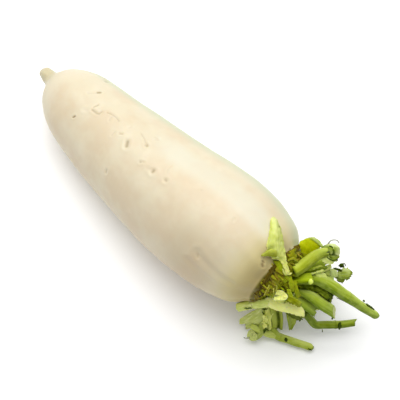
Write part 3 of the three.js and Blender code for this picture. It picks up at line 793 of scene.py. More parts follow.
CUT_GREEN = rind("cut_stalk_rind", (140, 160, 4), (126, 146, 2), (172, 192, 64), (172, 190, 52), (84, 106, 0),
                 pith=(212, 222, 142))
cut_stalk = stalk([[8, 7, 52], [15, 16, 58], [19, 22, 60.5], [22.5, 27.5, 61.5]], [7, 8, 7.5], depth=0.7,
                  end="torn", torn=0.8, slant=-0.2, seed=33)
plant("pale_cut_stalk_rind", [cut_stalk], CUT_GREEN, "pale_cut_stalk")

OPEN_FACE = rind("sliced_face", (250, 255, 158), (248, 254, 148), (248, 252, 154), (252, 255, 186),
                 (236, 244, 128), pith=(250, 255, 146), soft=0.35, gap=(224, 236, 108), turned_away=0.6)
SPLIT_BLOCK = [(-0.5, -0.4), (-0.1, -0.43), (0.46, -0.36), (0.56, -0.04), (0.36, 0.22), (0.06, 0.42),
               (-0.26, 0.4), (-0.42, 0.05)]
snapped_block = stalk([[14, -8.5, 55], [15.8, -10.4, 59.5], [17, -12, 64.5]], [8.4, 8.8, 8.8],
                      section=SPLIT_BLOCK, depth=0.95, face=(-0.65, 0.63, 0.42), slant=-0.2, torn=0.35,
                      stains=[(1.0, 320, 1.0, 0.7)], dish=0.2, wilt=0.2, tint=0.9, seed=36)
plant("snapped_block", [snapped_block], OPEN_FACE)
CHIPS = [
    [[[13, -21, 31], [15.5, -20, 29.5], [17.5, -20, 26]],
     [[12, -23, 29], [14, -22.5, 27], [16.5, -22.5, 24.5]]],
    [[[15, -22.5, 25], [17.5, -21.5, 22], [19.5, -22, 18]],
     [[14, -24, 22], [15.5, -24, 20], [17.5, -25, 17]]],
]
chips = [blade(lines, 0.9, 0.9, 0.9, pale_edge=0.9, tint=0.95, seed=39 + i) for i, lines in enumerate(CHIPS)]
plant("torn_chips", chips, PALE_RIND)

SNAPPED_GREEN = rind("snapped_end_skin", (212, 232, 88), (220, 238, 104), (222, 238, 112), (242, 250, 160),
                     (172, 192, 54), pith=(228, 240, 146), gap=(176, 198, 50), turned_away=0.35)
cut_end = blade([
    [[18.5, 26.5, 72.5], [19, 28.5, 73], [21.5, 30, 72], [26.5, 31, 69.5]],
    [[19.8, 25.5, 72.5], [22, 27.5, 73.5], [24.5, 29, 72], [27, 30.5, 69]],
    [[21, 25, 71], [23, 25.5, 70.5], [25, 27, 69.5], [27, 30, 68.5]],
], 2.4, ragged=0.5, crinkle=0.25, pale_edge=0.6, tint=1.0, seed=35)
long_stalk_foot = blade([
    [[21, 18.3, 58], [21.5, 20.5, 59.2], [23, 22.5, 59], [26, 24, 57.6]],
    [[23.6, 16.3, 58.6], [24.4, 19, 60.8], [26, 22, 60.2], [29, 23.5, 58.6]],
    [[25.6, 17, 57.2], [27, 18.8, 59.6], [28.6, 21, 59], [31, 22, 57.6]],
], 1.2, crinkle=0.2, tint=0.75, seed=37)
stub_break = blade([
    [[23.5, 10, 66], [23.5, 11, 66.5], [24.5, 11.5, 66.5]],
    [[25, 8, 65.5], [25, 9.5, 67], [25.5, 11.5, 66.5]],
    [[26, 8.5, 65], [27, 9, 66], [27, 10.5, 65.5]],
], 1.2, ragged=0.4, crinkle=0.3, pale_edge=0.3, tint=0.55, seed=38)
plant("snapped_ends", [cut_end, long_stalk_foot, stub_break], SNAPPED_GREEN)

slice_face = blade([
    [[9, -18, 50], [13, -19.5, 50], [18, -18.5, 49.5], [24, -14.5, 48], [29, -10.5, 46], [33, -7.6, 44],
     [36, -5, 42]],
    [[9, -16.5, 52], [12.5, -16.5, 52.5], [17.5, -15.5, 52], [22.5, -12.5, 50.5], [27.5, -8, 48],
     [31.5, -5.4, 46], [35, -3.4, 43]],
    [[9.5, -15, 53], [13, -13, 54], [17.5, -11, 54], [21.5, -7.5, 52.5], [25.5, -3.5, 50.5],
     [28.5, -2.4, 48.5], [32, -2, 45.5]],
], 3.0, ragged=0.25, pale_edge=0.9, tint=0.65, seed=32,
    stains=[(0.42, 0.85, 0.8, 0.7), (0.78, 0.8, 0.7, 0.6), (0.5, 0.5, 0.4, 0.25), (1.0, 0.5, 2.0, 0.4),
            (1.0, 0.1, 1.6, 0.4), (1.0, 0.9, 1.8, 0.5)])
plant("sliced_stalk", [slice_face], OPEN_FACE, "split_stalk")


# ---- The sheaths ----
# Flat leaf bases that wrapped the crown. One was broken and folds back over the root's shoulder, with a flap
# torn out of its side; another stands broad and thin behind the stalks, with a thick green margin.

SHEATH_PALE = rind("sheath_skin", (202, 212, 110), (200, 208, 108), (244, 244, 142), (228, 234, 156),
                   (168, 180, 70), soft=0.35, pith=(242, 242, 136), streaky=0.5, gap=(120, 124, 20))
OLIVE_FLAP = rind("flap_skin", (176, 182, 70), (162, 170, 50), (172, 176, 76), (190, 196, 96), (140, 148, 30),
                  soft=0.3, gap=(96, 98, 10))
LIT_YELLOW = rind("broad_sheath_skin", (168, 172, 4), (182, 190, 0), (190, 198, 14), (200, 208, 40),
                  (160, 168, 0), soft=0.4, pith=(196, 198, 110), gap=(110, 112, 0))
MARGIN_GREEN = rind("sheath_margin_skin", (160, 172, 60), (166, 180, 92), (176, 190, 110), (196, 206, 140),
                    (140, 156, 40), soft=0.3)
# The fold is pale along its edges, and this pale line also stands in for the highlight along the fold.
fold = blade([
    [[-22, 19, 87], [-20.5, 14.5, 88.5], [-17, 10.5, 89], [-13.5, 5.5, 89.5], [-9.5, -0.5, 88.5],
     [-6.5, -2, 85], [-4, -2.5, 84.5], [-1, -2.5, 83.5], [2, 0, 83], [4.8, 0.2, 81.5], [8.2, -0.6, 79],
     [12.2, -1.6, 76.2]],
    [[-21.5, 19, 86.5], [-19, 17, 88.6], [-14.5, 13, 90], [-10, 9, 90.5], [-5.5, 4, 89], [-1, 2, 86.5],
     [2.6, 2, 83], [5.4, 2, 80.8], [8.8, 1, 78.2], [12.4, -0.4, 75.6]],
    [[-21.5, 19.5, 86], [-18, 19, 85.5], [-13, 17, 85], [-8, 14, 84.5], [-3, 10.5, 82.5], [2.5, 6.5, 81],
     [5.8, 4, 80.5], [9, 2.6, 78.5], [12.6, 1, 76]],
], 1.3, crinkle=0.22, pale_edge=1.0, seed=41,
    stains=[(0.2, 0.78, 1.2, 0.95), (0.16, 0.7, 0.6, 0.5), (0.31, 0.85, 0.9, 0.4), (0.1, 0.5, 0.5, 0.2)])
torn_foot = blade([
    [[7, -1.5, 77.5], [11, -2.6, 76], [14, 0.6, 75]],
    [[8, 0.8, 78], [11.6, -0.6, 76.8], [13.6, 2.4, 75.4]],
], 0.9, crinkle=0.3, pale_edge=0.4, seed=45)
plant("folded_sheath", [fold, torn_foot], SHEATH_PALE, "folded_back_sheath")
flap = blade([
    [[-3.5, 3.5, 88], [-6.5, -0.5, 88.5], [-7.5, -4, 87.5], [-8, -7.5, 86.5]],
    [[-1.5, 1.5, 87.5], [-5, -2, 88.5], [-6.5, -5, 87.5], [-8, -7.5, 86.5]],
    [[1, 0.5, 84], [-2.5, -3, 86], [-5, -5.5, 86.5], [-7.5, -7.5, 86]],
], 0.9, seed=42)
plant("torn_flap", [flap], OLIVE_FLAP, "sheath_flap")
margin = blade([
    [[1.8, 33, 66], [3.5, 35.6, 66.4], [8, 36.8, 66.4], [13.5, 36.2, 65.6]],
    [[2.4, 32.2, 65.8], [5.3, 33.6, 66.2], [8.8, 34.2, 66], [13, 34, 65.2]],
], 0.8, crinkle=0.2, tint=(0.6, 0.3), seed=46)
plant("margin_of_the_broad_sheath", [margin], MARGIN_GREEN)
broad = blade([
    [[2, 17, 56], [0.5, 20, 60], [0, 23.5, 63], [-1, 27.5, 64]],
    [[8, 19, 56], [6.5, 23.5, 60], [4.5, 28, 63.5], [2, 33.5, 66]],
    [[11.5, 22.5, 56], [9.5, 27, 60], [7.5, 31.5, 63.5], [4, 35, 66]],
    [[15, 26, 56], [13, 30.5, 60], [12, 34, 63], [12, 36.5, 64]],
], 1.6, pale_edge=0.8, seed=43)
plant("broad_sheath_blade", [broad], LIT_YELLOW, "broad_sheath")


# ---- The heart of the crown ----
# The bases of the youngest leaves, packed together on the dome. The outermost have dried to brown straw, and
# the inner ones are still olive and yellow-green.

HEART_LEAVES = 150
HEART_REACH = 25  # how far out from the dome's middle the outermost stand
GOLDEN_TURN = 137.5  # degrees from each leaf to the next, as they grew
DOME_RISE = 9.0
DOME_RADIUS = 26.5
DRY_PITH = (208, 212, 104)
BLACKENED = (30, 20, 0)
rim_height = float(numpy.interp(CROWN_RIM[0], root_rings[:, 0], root_rings[:, 2]))


def heart_skin(name, gap):
    """Dry leaf bases by their tint: dark brown at 0, then tan straw, olive, and yellow-green at 1."""
    skin = Finish(name, 0.6, tone=(68, 54, 0), Subsurface_Weight=0.15, Subsurface_Scale=0.0012,
                  Specular_IOR_Level=0.1)
    skin.lay(skin.by("tint", 0.0, 0.2), (112, 96, 6))
    skin.lay(skin.by("tint", 0.2, 0.45), (142, 132, 30))
    skin.lay(skin.by("tint", 0.45, 0.7), (138, 140, 4))
    skin.lay(skin.by("tint", 0.7, 1.0), (164, 180, 16))
    fresh = skin.by("tint", 0.3, 0.8)
    fibres = skin.grain((0.1, 1, 1))
    skin.lay(skin.rise(skin.clouds(0.8, fibres, detail=4), 0.5, 0.7, 0, 0.5),
             skin.blend(fresh, (160, 146, 74), (176, 188, 40)))
    skin.lay(skin.rise(skin.clouds(1.1, fibres, detail=4), 0.5, 0.3, 0, 0.55),
             skin.blend(fresh, (50, 36, 0), (96, 106, 0)))
    skin.lay(skin.by("pith", 0.2, 0.8, 0, 0.7), DRY_PITH)
    # Painted shade: the bases sink to the gap colour where others close them in.
    skin.lay(skin.by("occlusion_shade", 0.4, 1.0, 0, 0.7), gap)
    skin.lay(skin.read("stain"), BLACKENED)
    skin.bump(skin.clouds(0.5, fibres, detail=4), 0.15)
    skin.bump(skin.clouds(0.4), 0.06)
    return skin


def leaf_base(degrees_round, reach, long, wide, lean, tint, seed, sway=0.0):
    """A small pointed leaf base standing on the dome, cupped round the ones inside it. It stands so many
    degrees round from the dome's left side over its top, and so far out from its middle."""
    bend = math.radians(degrees_round)
    outward = numpy.array([0, math.cos(bend), math.sin(bend)])
    aside = numpy.array([0, -math.sin(bend), math.cos(bend)])
    rise = DOME_RISE * math.sqrt(max(0, 1 - (reach / DOME_RADIUS) ** 2))
    foot = numpy.array([rise - 1.5, math.cos(bend) * reach, rim_height + math.sin(bend) * reach])
    lines = []
    for place, cup, share in ((-0.5, -0.22, 0.86), (-0.2, -0.03, 0.97), (0.15, 0.0, 1.0), (0.5, -0.2, 0.82)):
        line = []
        for step in (0, 0.35, 0.7, 1.0):
            narrow = 1 - 0.8 * step**1.5
            out_by = lean * step * long + cup * wide * narrow
            across = place * wide * narrow + sway * (step * long) ** 2 / 10
            line.append(foot + [step * long * share, 0, 0] + outward * out_by + aside * across)
        lines.append(line)
    pale_edge = 0.3 if tint > 0.5 else 0.1
    return blade(lines, 0.6, crinkle=0.25, pale_edge=pale_edge, tint=tint, seed=seed)


# Between them the dome is filled with their crushed and fibrous feet, lower beside the pale stub.
FEET_RISE = 6.2
FEET_REACH = 25.2
FEET_GRAIN = 15
reach = numpy.linspace(FEET_REACH, 0.3, 64)[:, None]
bend = numpy.linspace(0, 2 * math.pi, 360, endpoint=False)[None, :]
ways = [10 * numpy.cos(bend) + 0 * reach, 10 * numpy.sin(bend) + 0 * reach, 0.15 * reach + 0 * bend]
ways = numpy.stack(ways, axis=-1)
fibres = 0.7 * unevenness(ways, 0.55, 61) + 0.7 * unevenness(ways, 2.2, 62)
beside_stub = ease((numpy.degrees(bend) - 135) / 25) * (numpy.degrees(bend) < 235)
lift = (FEET_RISE * (1 - 0.85 * beside_stub) + 0.8 * fibres) * ease((FEET_REACH - reach) / 4) - 0.5
feet_rings = CROWN_RIM + numpy.stack([
    DOME_RISE * numpy.sqrt(1 - (reach / DOME_RADIUS) ** 2) + lift,
    numpy.cos(bend) * reach,
    rim_height + numpy.sin(bend) * reach,
], axis=-1)
feet_back = numpy.repeat([[CROWN_RIM + [-2, 0, rim_height]]], feet_rings.shape[1], axis=1)
dry_rim = ease((reach - 17) / 6) * (0.3 + 0.22 * ease((numpy.degrees(bend) - 110) / 40))
feet_tint = 0.8 + 0.12 * fibres - dry_rim
nothing = numpy.zeros((len(feet_rings) + 1, feet_rings.shape[1]))
feet = {
    "rings": numpy.concatenate([feet_back, feet_rings]),
    "along": nothing,
    "inner": nothing + 1,
    "pith": nothing,
    "stain": nothing,
    "tint": numpy.concatenate([feet_tint[:1], feet_tint]),
    "grain": MM * numpy.stack([
        nothing + numpy.r_[FEET_REACH, reach[:, 0]][:, None],
        nothing + FEET_GRAIN * numpy.sin(bend),
        nothing + FEET_GRAIN * numpy.cos(bend),
    ], axis=-1),
}

HEART_SKIN = heart_skin("heart_skin", gap=(112, 108, 0))
dice = numpy.random.default_rng(21)
heart = [feet]
for number in range(HEART_LEAVES):
    degrees_round = (number * GOLDEN_TURN) % 360 - 90
    reach = HEART_REACH * math.sqrt((number + 0.5) / HEART_LEAVES)
    dry = ease((reach - 18) / 9) * dice.uniform(0.15, 0.5)
    if degrees_round > 135:  # towards the near side they are drier, and crushed short under the pale stalks
        dry *= 1.5
    tint = numpy.clip(0.94 - dry - dice.uniform(0, 0.22), 0.12, 1)
    long = dice.uniform(6, 10) + 6 * (1 - reach / 26)
    if degrees_round > 150:
        long *= 0.4
    wide, lean = dice.uniform(1.4, 3.4), dice.uniform(-0.1, 0.3)
    sway = dice.uniform(-0.25, 0.25)
    heart.append(leaf_base(degrees_round, reach, long, wide, lean, tint, 100 + number, sway))
plant("young_leaf_bases", heart, HEART_SKIN)


def shown_base(lines, thick, tint, seed, **more):
    """One of the bases in full view on top, each through places of its own."""
    return blade(lines, thick, ragged=0.25, crinkle=0.3, tint=tint, seed=seed, **more)


plant("shown_leaf_bases", [
    # The olive one beside the folded sheath, and those in front of it.
    shown_base([
        [[-1.5, -2, 79], [2, -3.5, 76], [7, -5, 72], [13, -5, 68]],
        [[0.5, -0.5, 80], [4.5, -2.5, 77], [9, -4, 72.5], [14, -4, 68]],
        [[2.5, 1.5, 80.5], [6.5, 1, 79], [11, -0.5, 76], [15, -1.5, 71]],
    ], 0.9, 0.95, 171, pale_edge=0.4),
    shown_base([
        [[9, -3.5, 70], [14, -5.5, 67], [19, -6.5, 61]],
        [[11, -0.5, 70], [15.5, -2, 67], [20.5, -4, 61]],
    ], 1.2, 0.72, 172),
    shown_base([
        [[12, -0.5, 71], [16, -3, 69], [20, -4.5, 62]],
        [[14, 1.5, 71], [17.5, 0, 68], [21.5, -2, 62]],
    ], 1.0, 0.92, 174, pale_edge=0.4),
    shown_base([
        [[15, 0, 68], [20.5, -2, 63], [25, -3, 56]],
        [[18, 3, 68], [22, 1, 63], [26.5, 0.5, 56]],
    ], 1.2, 0.88, 186),
    shown_base([
        [[17, -6, 66], [20.5, -7.5, 63], [23.5, -8, 58]],
        [[19, -4.5, 66], [22.5, -5, 62], [25.5, -5.5, 57]],
    ], 1.0, 0.95, 187, pale_edge=0.5),
    # The two behind the sheath, under the rim.
    shown_base([
        [[2, 7, 79], [5.5, 6, 76], [9, 5, 72]],
        [[2, 12, 78], [6, 10.5, 76], [9, 9, 72]],
        [[2.5, 17.5, 75], [6, 15, 73], [9, 12.5, 70]],
    ], 0.9, 0.7, 188, stains=[(0.25, 0.85, 1.2, 0.8), (0.4, 0.0, 1.0, 0.6)]),
    shown_base([
        [[5, 6, 77.5], [6.5, 10.5, 76.8], [10, 12.5, 74.5]],
        [[6, 5.4, 77.5], [7.8, 9.5, 76.6], [11, 11, 74.5]],
    ], 0.8, 0.72, 189, pale_edge=0.5),
    # A pale strand that lies over the rim.
    blade([
        [[-0.5, -4.5, 79.5], [1, -5, 78.5], [2.5, -6.5, 77]],
        [[0, -3.5, 80], [1.8, -4, 79], [3.4, -5.5, 77.5]],
    ], 0.6, pale_edge=0.8, tint=0.45, seed=173),
], HEART_SKIN)

# Leaf bases in the gaps between the stalks; their deep green also stands in for the shade there.
GAP_SHADE_GREEN = rind("leaf_between_skin", (128, 146, 4), (116, 136, 4), (84, 106, 2), (172, 186, 60), (76, 94, 0),
                 pith=(176, 188, 80), streaky=0.5, gap=(62, 76, 0))
plant("leaf_bases_between", [
    blade([
        [[16, 7, 55], [21.5, 11, 54], [27.5, 17, 52], [34, 20, 50], [41, 19.5, 46]],
        [[16, 5, 53], [23.5, 9.5, 52], [30, 15, 50], [36.5, 17.5, 48], [41.5, 18, 44]],
        [[17, 4, 51], [24.5, 8.5, 50], [31.5, 13.5, 48], [38.5, 15, 46], [42.5, 16.5, 42]],
    ], 1.6, 0.7, 0.8, seed=175, stains=[(0.45, 0.4, 1.4, 0.8), (0.7, 0.2, 1.6, 0.7)]),
    blade([
        [[14, 8, 50], [22, 14, 50], [30, 19, 49], [36, 22, 47]],
        [[15, 5, 46], [24, 10, 46], [32, 14, 45], [38, 16.5, 43]],
    ], 1.6, 0.6, 0.6, seed=176, stains=[(0.8, 0.5, 3, 0.6)]),
    blade([
        [[14, 0, 44], [22, 1, 43], [30, 3, 41], [36, 6, 38]],
        [[14, -6, 40], [22, -6, 38], [29, -4, 35], [34, -2, 33]],
    ], 1.6, 0.8, 0.6, seed=177),
    blade([
        [[24, 8, 49], [30, 13, 47.5], [36, 16.5, 45.5], [41, 18, 42]],
        [[25, 2, 45], [31, 6, 43.5], [36, 10, 41], [41, 13, 38]],
    ], 1.6, 0.8, 0.6, seed=178, tint=0.7, stains=[(0.9, 0.3, 1.6, 0.5)]),
], GAP_SHADE_GREEN)

THIN_GREEN = rind("thin_leaf_base_skin", (140, 160, 4), (196, 214, 64), (208, 222, 90), (220, 230, 130),
                  (106, 128, 0), streaky=0.5, gap=(84, 104, 0), turned_away=0.6)
plant("thin_leaf_bases", [
    blade([
        [[14.5, 11.5, 58], [17.5, 19.5, 60.5], [19.5, 26.5, 61], [21.5, 31, 60]],
        [[17.5, 11.5, 58], [20, 19, 60.5], [22.5, 25.5, 61], [24, 31, 60]],
    ], 1.8, 0.4, 0.3, seed=191, tint=0.75),
    blade([
        [[18.5, 11.5, 58], [21.2, 18.8, 60.4], [23.4, 26.6, 61.2], [24.4, 32, 60.2]],
        [[21.5, 13, 57], [24, 19, 59], [26.5, 25.5, 59.5], [27.5, 30.5, 58]],
    ], 1.8, 0.4, 0.3, seed=192, tint=0.95),
    blade([
        [[16.5, 12.5, 65], [19.3, 18.5, 66.6], [22.2, 24.2, 66.8]],
        [[18, 12.3, 65], [20.7, 18, 66.4], [23.6, 24, 66.4]],
    ], 1.0, 0.4, 0.3, seed=193),
    blade([
        [[19.6, 13.5, 64], [22.3, 18.2, 65], [24.8, 23.6, 64.6]],
        [[21, 13.5, 63.6], [23.6, 18, 64.6], [26.2, 23, 64]],
    ], 1.0, 0.4, 0.3, seed=194, tint=1.0),
], THIN_GREEN)

OLIVE_BASE = rind("olive_leaf_base_skin", (128, 134, 4), (146, 154, 10), (166, 176, 40), (190, 198, 70),
                  (104, 112, 0), streaky=0.5, gap=(90, 94, 0))
yellow_base = blade([
    [[17.5, -6, 63], [21, -6.5, 62], [25, -4.5, 59.5], [30, -2, 55.5]],
    [[18.3, -7.6, 62.5], [22, -8.2, 61], [26, -6.4, 59], [30.4, -3.8, 55]],
    [[19.5, -10, 60], [23, -10.4, 59.4], [26.5, -8.4, 57.4], [30.5, -5.6, 54]],
], 1.8, 0.35, 0.35, seed=190, stains=[(0.12, 0.95, 0.8, 0.9), (0.7, 0.2, 0.8, 0.4)])
plant("yellow_leaf_base", [yellow_base], OLIVE_BASE)


# ---- The dry frill ----
# The first leaves withered early. Their brown, papery bases stand in a frill round the rim, frayed into
# straw, with one whole withered leaf at the near side.

HUSK_SKIN = heart_skin("husk_skin", gap=(44, 36, 0))
SCALES = 11
SCALE_TURN = 28  # degrees round the rim from one to the next
# Each scale is split into frays: degrees round from its middle, how high, how wide, and its tint.
FRAYS = [(-11, 4, 3.4, 0.03), (-8, 7, 2.6, 0.22), (-4, 5, 4.5, 0.06), (0, 8, 3, 0.62), (3, 6, 4, 0.12),
         (6, 9, 1.6, 0.4), (9, 4, 3.6, 0.04), (12, 7, 2.6, 0.26)]
# Towards the near side the frill is broken short, and over the far side's top it is paler.
for number in range(SCALES):
    angle = SCALE_TURN * number - 20
    tall = 0.3 if angle > 160 else 0.65 if angle > 130 else 1.0
    paler = 0.3 if 30 < angle < 80 else 0
    scale = []
    for part, (turn_by, high, wide, tint) in enumerate(FRAYS):
        high = high * tall * dice.uniform(0.7, 1.1)
        at = angle + turn_by + dice.uniform(-2, 2)
        sway = dice.uniform(-0.4, 0.4)
        seed = 200 + 10 * number + part
        scale.append(leaf_base(at, 25.3 - 0.25 * high, high, wide, 0.02, tint + paler, seed, sway))
    plant(f"husk_{number + 1}", scale, HUSK_SKIN, f"dry_scale_{number + 1}")

brown_leaf = blade([
    [[1.5, -3.5, 80], [2, -8.5, 79], [3.5, -14, 76.5], [4, -18.5, 70], [4.5, -21.5, 62.5], [5.5, -21.5, 56]],
    [[2, -3, 79.5], [3.5, -6.5, 77], [5, -11, 74], [6, -15.5, 69], [6.5, -18.5, 62.5], [7, -20, 57]],
    [[2, -2.5, 76], [4.5, -4.5, 74], [6, -7, 71], [7.5, -11.5, 67], [7.5, -16, 62], [8, -18, 58]],
], 0.8, 0.5, 0.4, tint=0.1, seed=181, stains=[(0.95, 0.3, 3.0, 0.9), (0.6, 0.0, 1.2, 0.6)])
rim_edge = blade([
    [[-1, 25.5, 63.5], [0, 20, 69.5], [1, 15, 74], [1, 11.5, 76.5], [1, 8, 78]],
    [[1, 26, 61], [1.5, 20.5, 69.5], [2.5, 15.3, 74.3], [2.5, 11.5, 77], [2.5, 8, 78.6]],
    [[0, 27, 58], [3.5, 20, 68], [4, 14.5, 73.5], [4.5, 10.5, 76], [4.5, 7, 78]],
], 0.9, 0.6, 0.4, tint=0.12, seed=185)
STRAWS = [
    [[[7.5, -14, 71.5], [8.5, -17.5, 69.5], [9.6, -21, 66]],
     [[9, -13.2, 71], [10, -16.4, 69], [10.4, -20, 65.6]]],
    [[[11, -14, 71.5], [13, -15.5, 69.8], [14.5, -17, 67]],
     [[11.7, -13.4, 71.2], [13.7, -15, 69.5], [15, -16.6, 67]]],
    [[[11, -11.5, 72.6], [12.5, -12.5, 71], [14.2, -14, 69]],
     [[11.8, -11, 72.4], [13.3, -12, 70.8], [14.8, -13.6, 69]]],
]
straw = [blade(lines, 0.5, tint=0.55, pale_edge=0.7, seed=182 + i) for i, lines in enumerate(STRAWS)]
plant("brown_leaf_and_straw", [brown_leaf, rim_edge, *straw], HUSK_SKIN)


# ---- The scraps of leaf ----
# What is left of the blades where the leaves were stripped: a rolled-up end, ragged lobes, crumbs and shreds.
# They are thin green leaf, darkened where it was crushed, and hang on at the stalks' ends.

ROLL_GREEN = rind("rolled_leaf_skin", (132, 152, 26), (138, 158, 36), (156, 172, 66), (224, 232, 170),
                  (88, 110, 8), pith=(206, 214, 150), rough=0.5, gap=(84, 104, 10), turned_away=0.3)
LOBE_GREEN = rind("lobe_skin", (172, 186, 90), (158, 174, 70), (144, 162, 58), (200, 212, 140),
                  (116, 136, 24), pith=(192, 202, 146), rough=0.5, inner=(160, 178, 78), gap=(84, 104, 10))
MID_LEAF = rind("mid_leaf_skin", (132, 146, 46), (140, 154, 56), (116, 130, 30), (164, 176, 96), (80, 96, 6),
                soft=0.2, pith=(84, 98, 30), rough=0.5, gap=(60, 74, 0))
DARK_LEAF = rind("dark_leaf_skin", (66, 86, 8), (70, 92, 14), (52, 70, 6), (112, 132, 56), (24, 36, 0),
                 soft=0.1, pith=(92, 110, 44), rough=0.5)
ROLL_CENTRE = numpy.array([21.0, 33.8, 74.2])
ROLL_WAYS = numpy.array([[0.698, 0.716, 0.0], [-0.649, 0.633, 0.423], [0.303, -0.295, 0.906]])
# The hood of the roll, and a dark sheet under it that stands in for the shade inside the curl, as places
# across, up and along the roll.
HOOD = [
    [(-6.6, 1.2, -1), (-6.2, 1.8, 0.6), (-5, 1.4, 1), (-4.2, 0.4, 0.8)],
    [(-4.4, 3.6, -1), (-3.4, 3, 1.6), (-2.8, 1.4, 2.4), (-2.6, -0.6, 2.2)],
    [(-1.4, 4.8, -1), (-0.8, 3.6, 2.2), (-0.6, 1, 3.2), (-0.6, -2.2, 2.6)],
    [(1.8, 4.6, -1), (2.2, 3.4, 2.4), (2.2, 0.8, 3.4), (2, -2.6, 2.8)],
    [(4.8, 3, -1), (4.6, 2.2, 1.6), (4.4, 0, 2.4), (3.8, -3, 2)],
    [(6.2, 0.6, -1), (6, 0.4, 0.2), (5.8, -1.4, 0.6), (4.9, -3.6, 0.6)],
]
SHADE_IN_ROLL = [
    [(-1.8, 4.0, 3.0), (0.4, 3.4, 3.5), (1.8, 1.2, 4.0), (1.7, -1.2, 4.0), (0.6, -2.8, 3.7)],
    [(-1.8, 3.2, 3.2), (-0.1, 2.4, 3.6), (0.6, 0.8, 4.1), (0.5, -1.2, 4.1), (-0.4, -2.8, 3.8)],
]
# The hood is painted from its shade colour on the left to its highlight colour on the right: painted shade
# and painted light.
hood = blade([ROLL_CENTRE + numpy.array(line) @ ROLL_WAYS for line in HOOD], 1.3, 0.2, 0.25, pale_edge=0.3,
             tint=(0.0, 1.0), seed=51)
shade_in_roll = blade([ROLL_CENTRE + numpy.array(line) @ ROLL_WAYS for line in SHADE_IN_ROLL], 0.6, 0.15, seed=59)
# A dark strip under the roll, standing in for the shadow that the roll casts.
shadow_under_roll = blade([
    [[22.5, 27.6, 77], [25.8, 28.4, 77], [28.5, 31.7, 76.4]],
    [[22.8, 27, 76.6], [26.4, 27.6, 76.6], [29, 31.2, 76]],
], 0.7, 0.2, seed=47)
point = blade([
    [[20.5, 31, 74.5], [23.5, 32, 75], [25.5, 36, 74]],
    [[23, 30, 73.5], [25.5, 31, 74], [27.5, 35, 73]],
    [[25.5, 29.5, 72], [28, 30, 72.5], [29, 32.5, 72]],
], 1.4, 0.5, 0.5, pale_edge=0.8, seed=60,
    stains=[(0.9, 0.9, 0.9, 0.9), (0.2, 0.5, 0.8, 0.6), (0.6, 0.1, 0.8, 0.5)])
plant("rolled_leaf_end", [hood, point], ROLL_GREEN, "curled_lobe")
plant("shade_in_the_roll", [shade_in_roll, shadow_under_roll], DARK_LEAF)

ragged_lobe = blade([
    [[31, 34.5, 52], [31.5, 37.5, 52], [33, 41, 51], [37, 42, 50]],
    [[32.5, 32.5, 52], [34, 35.5, 52.5], [36, 38.5, 52], [39.2, 40.2, 50.4]],
    [[33.5, 31.5, 51], [36, 33.5, 51.5], [38, 36, 51], [40.2, 38.2, 50]],
    [[35, 31, 50], [37.5, 33, 50], [39.5, 35.5, 49], [40.5, 36.6, 49]],
], 1.4, 0.9, 0.35, seed=52, stains=[(1, 0.1, 0.8, 0.4), (1, 0.5, 0.6, 0.35), (1, 0.9, 0.8, 0.45)])
cut_disc = blade([
    [[26, 28.5, 54.6], [28.5, 28, 54.6], [31, 27, 53.6]],
    [[26.6, 31, 54.6], [30, 30.4, 55.2], [33.4, 29, 53.6]],
    [[28.6, 33, 53.4], [31.6, 33, 53.8], [34, 31, 52.6]],
], 1.6, 0.25, tint=1, seed=61)
plant("ragged_blade", [ragged_lobe, cut_disc], LOBE_GREEN, "ragged_lobe")
plant("dark_blade", [blade([
    [[31, 31, 49.5], [33.5, 30, 49.5], [36.5, 30, 48]],
    [[32.6, 33, 50], [35.5, 33, 49.8], [38.8, 31.5, 48]],
    [[35, 34.5, 49], [37.5, 34.5, 48.5], [39.2, 32.8, 48]],
], 1.3, 0.5, 0.3, pale_edge=0.9, seed=53, stains=[(0.1, 0.3, 1.2, 0.7)])], MID_LEAF, "dark_lobe")
plant("dark_cap_of_leaf", [blade([
    [[27.5, 33, 55.5], [30, 35, 55], [33, 36.5, 53.5]],
    [[28.5, 32, 54.5], [31, 34, 54], [33.5, 35.4, 53]],
], 1.0, 0.3, 0.2, seed=62)], DARK_LEAF)
plant("crumb_of_leaf", [blade([
    [[29.3, 35.8, 56], [29.5, 38, 57.5], [31.6, 39.6, 57]],
    [[30.3, 36.3, 57], [30.8, 37.8, 58], [32, 38.9, 57]],
    [[31, 36.4, 55.5], [31.7, 37.4, 56], [32.3, 38, 56]],
], 2.2, 0.5, 0.5, seed=54)], DARK_LEAF, "leaf_crumb")
arc = blade([
    [[32, 18.5, 50], [36, 19, 49.5], [38.5, 18, 47.5], [40, 16.5, 45]],
    [[33, 17.5, 50], [36.8, 18, 49], [39.2, 17, 47], [40.8, 15.4, 44.6]],
], 1.2, 0.4, 0.3, seed=55)
clump = blade([
    [[33, 22.5, 48], [36, 24.5, 47], [39.5, 23.8, 45]],
    [[34.5, 20.5, 47], [37.5, 22, 46], [40.2, 21.5, 44]],
    [[35.5, 18, 45.5], [38, 19, 44.5], [40, 19, 43]],
], 1.6, 0.7, 0.5, seed=56)
knot = blade([
    [[27.5, 15, 50], [29.5, 16.8, 51], [31, 17.4, 51]],
    [[28.8, 13.8, 49.4], [30.6, 15, 50], [32, 15.6, 49.6]],
], 1.6, 0.5, 0.4, seed=63)
plant("dark_shreds", [arc, clump, knot], DARK_LEAF, "dark_shred")
plant("low_jagged_shred", [blade([
    [[23, -8, 39], [26, -7, 38], [30, -5, 36], [34.5, -2.5, 34]],
    [[23.5, -10.5, 36], [27, -10, 35], [30.8, -8.5, 33.5], [34.5, -6, 32]],
], 1.2, 1.1, 0.4, seed=57)], MID_LEAF, "low_shred")
plant("dark_crust", [blade([
    [[59.5, 36.5, 36.2], [63, 38.5, 33.5], [66, 40, 30.5]],
    [[60, 35.8, 35.6], [63.5, 37.4, 32.8], [66.5, 39.2, 29.9]],
], 1.6, 0.4, 0.4, seed=58)], DARK_LEAF, "stalk_crust")

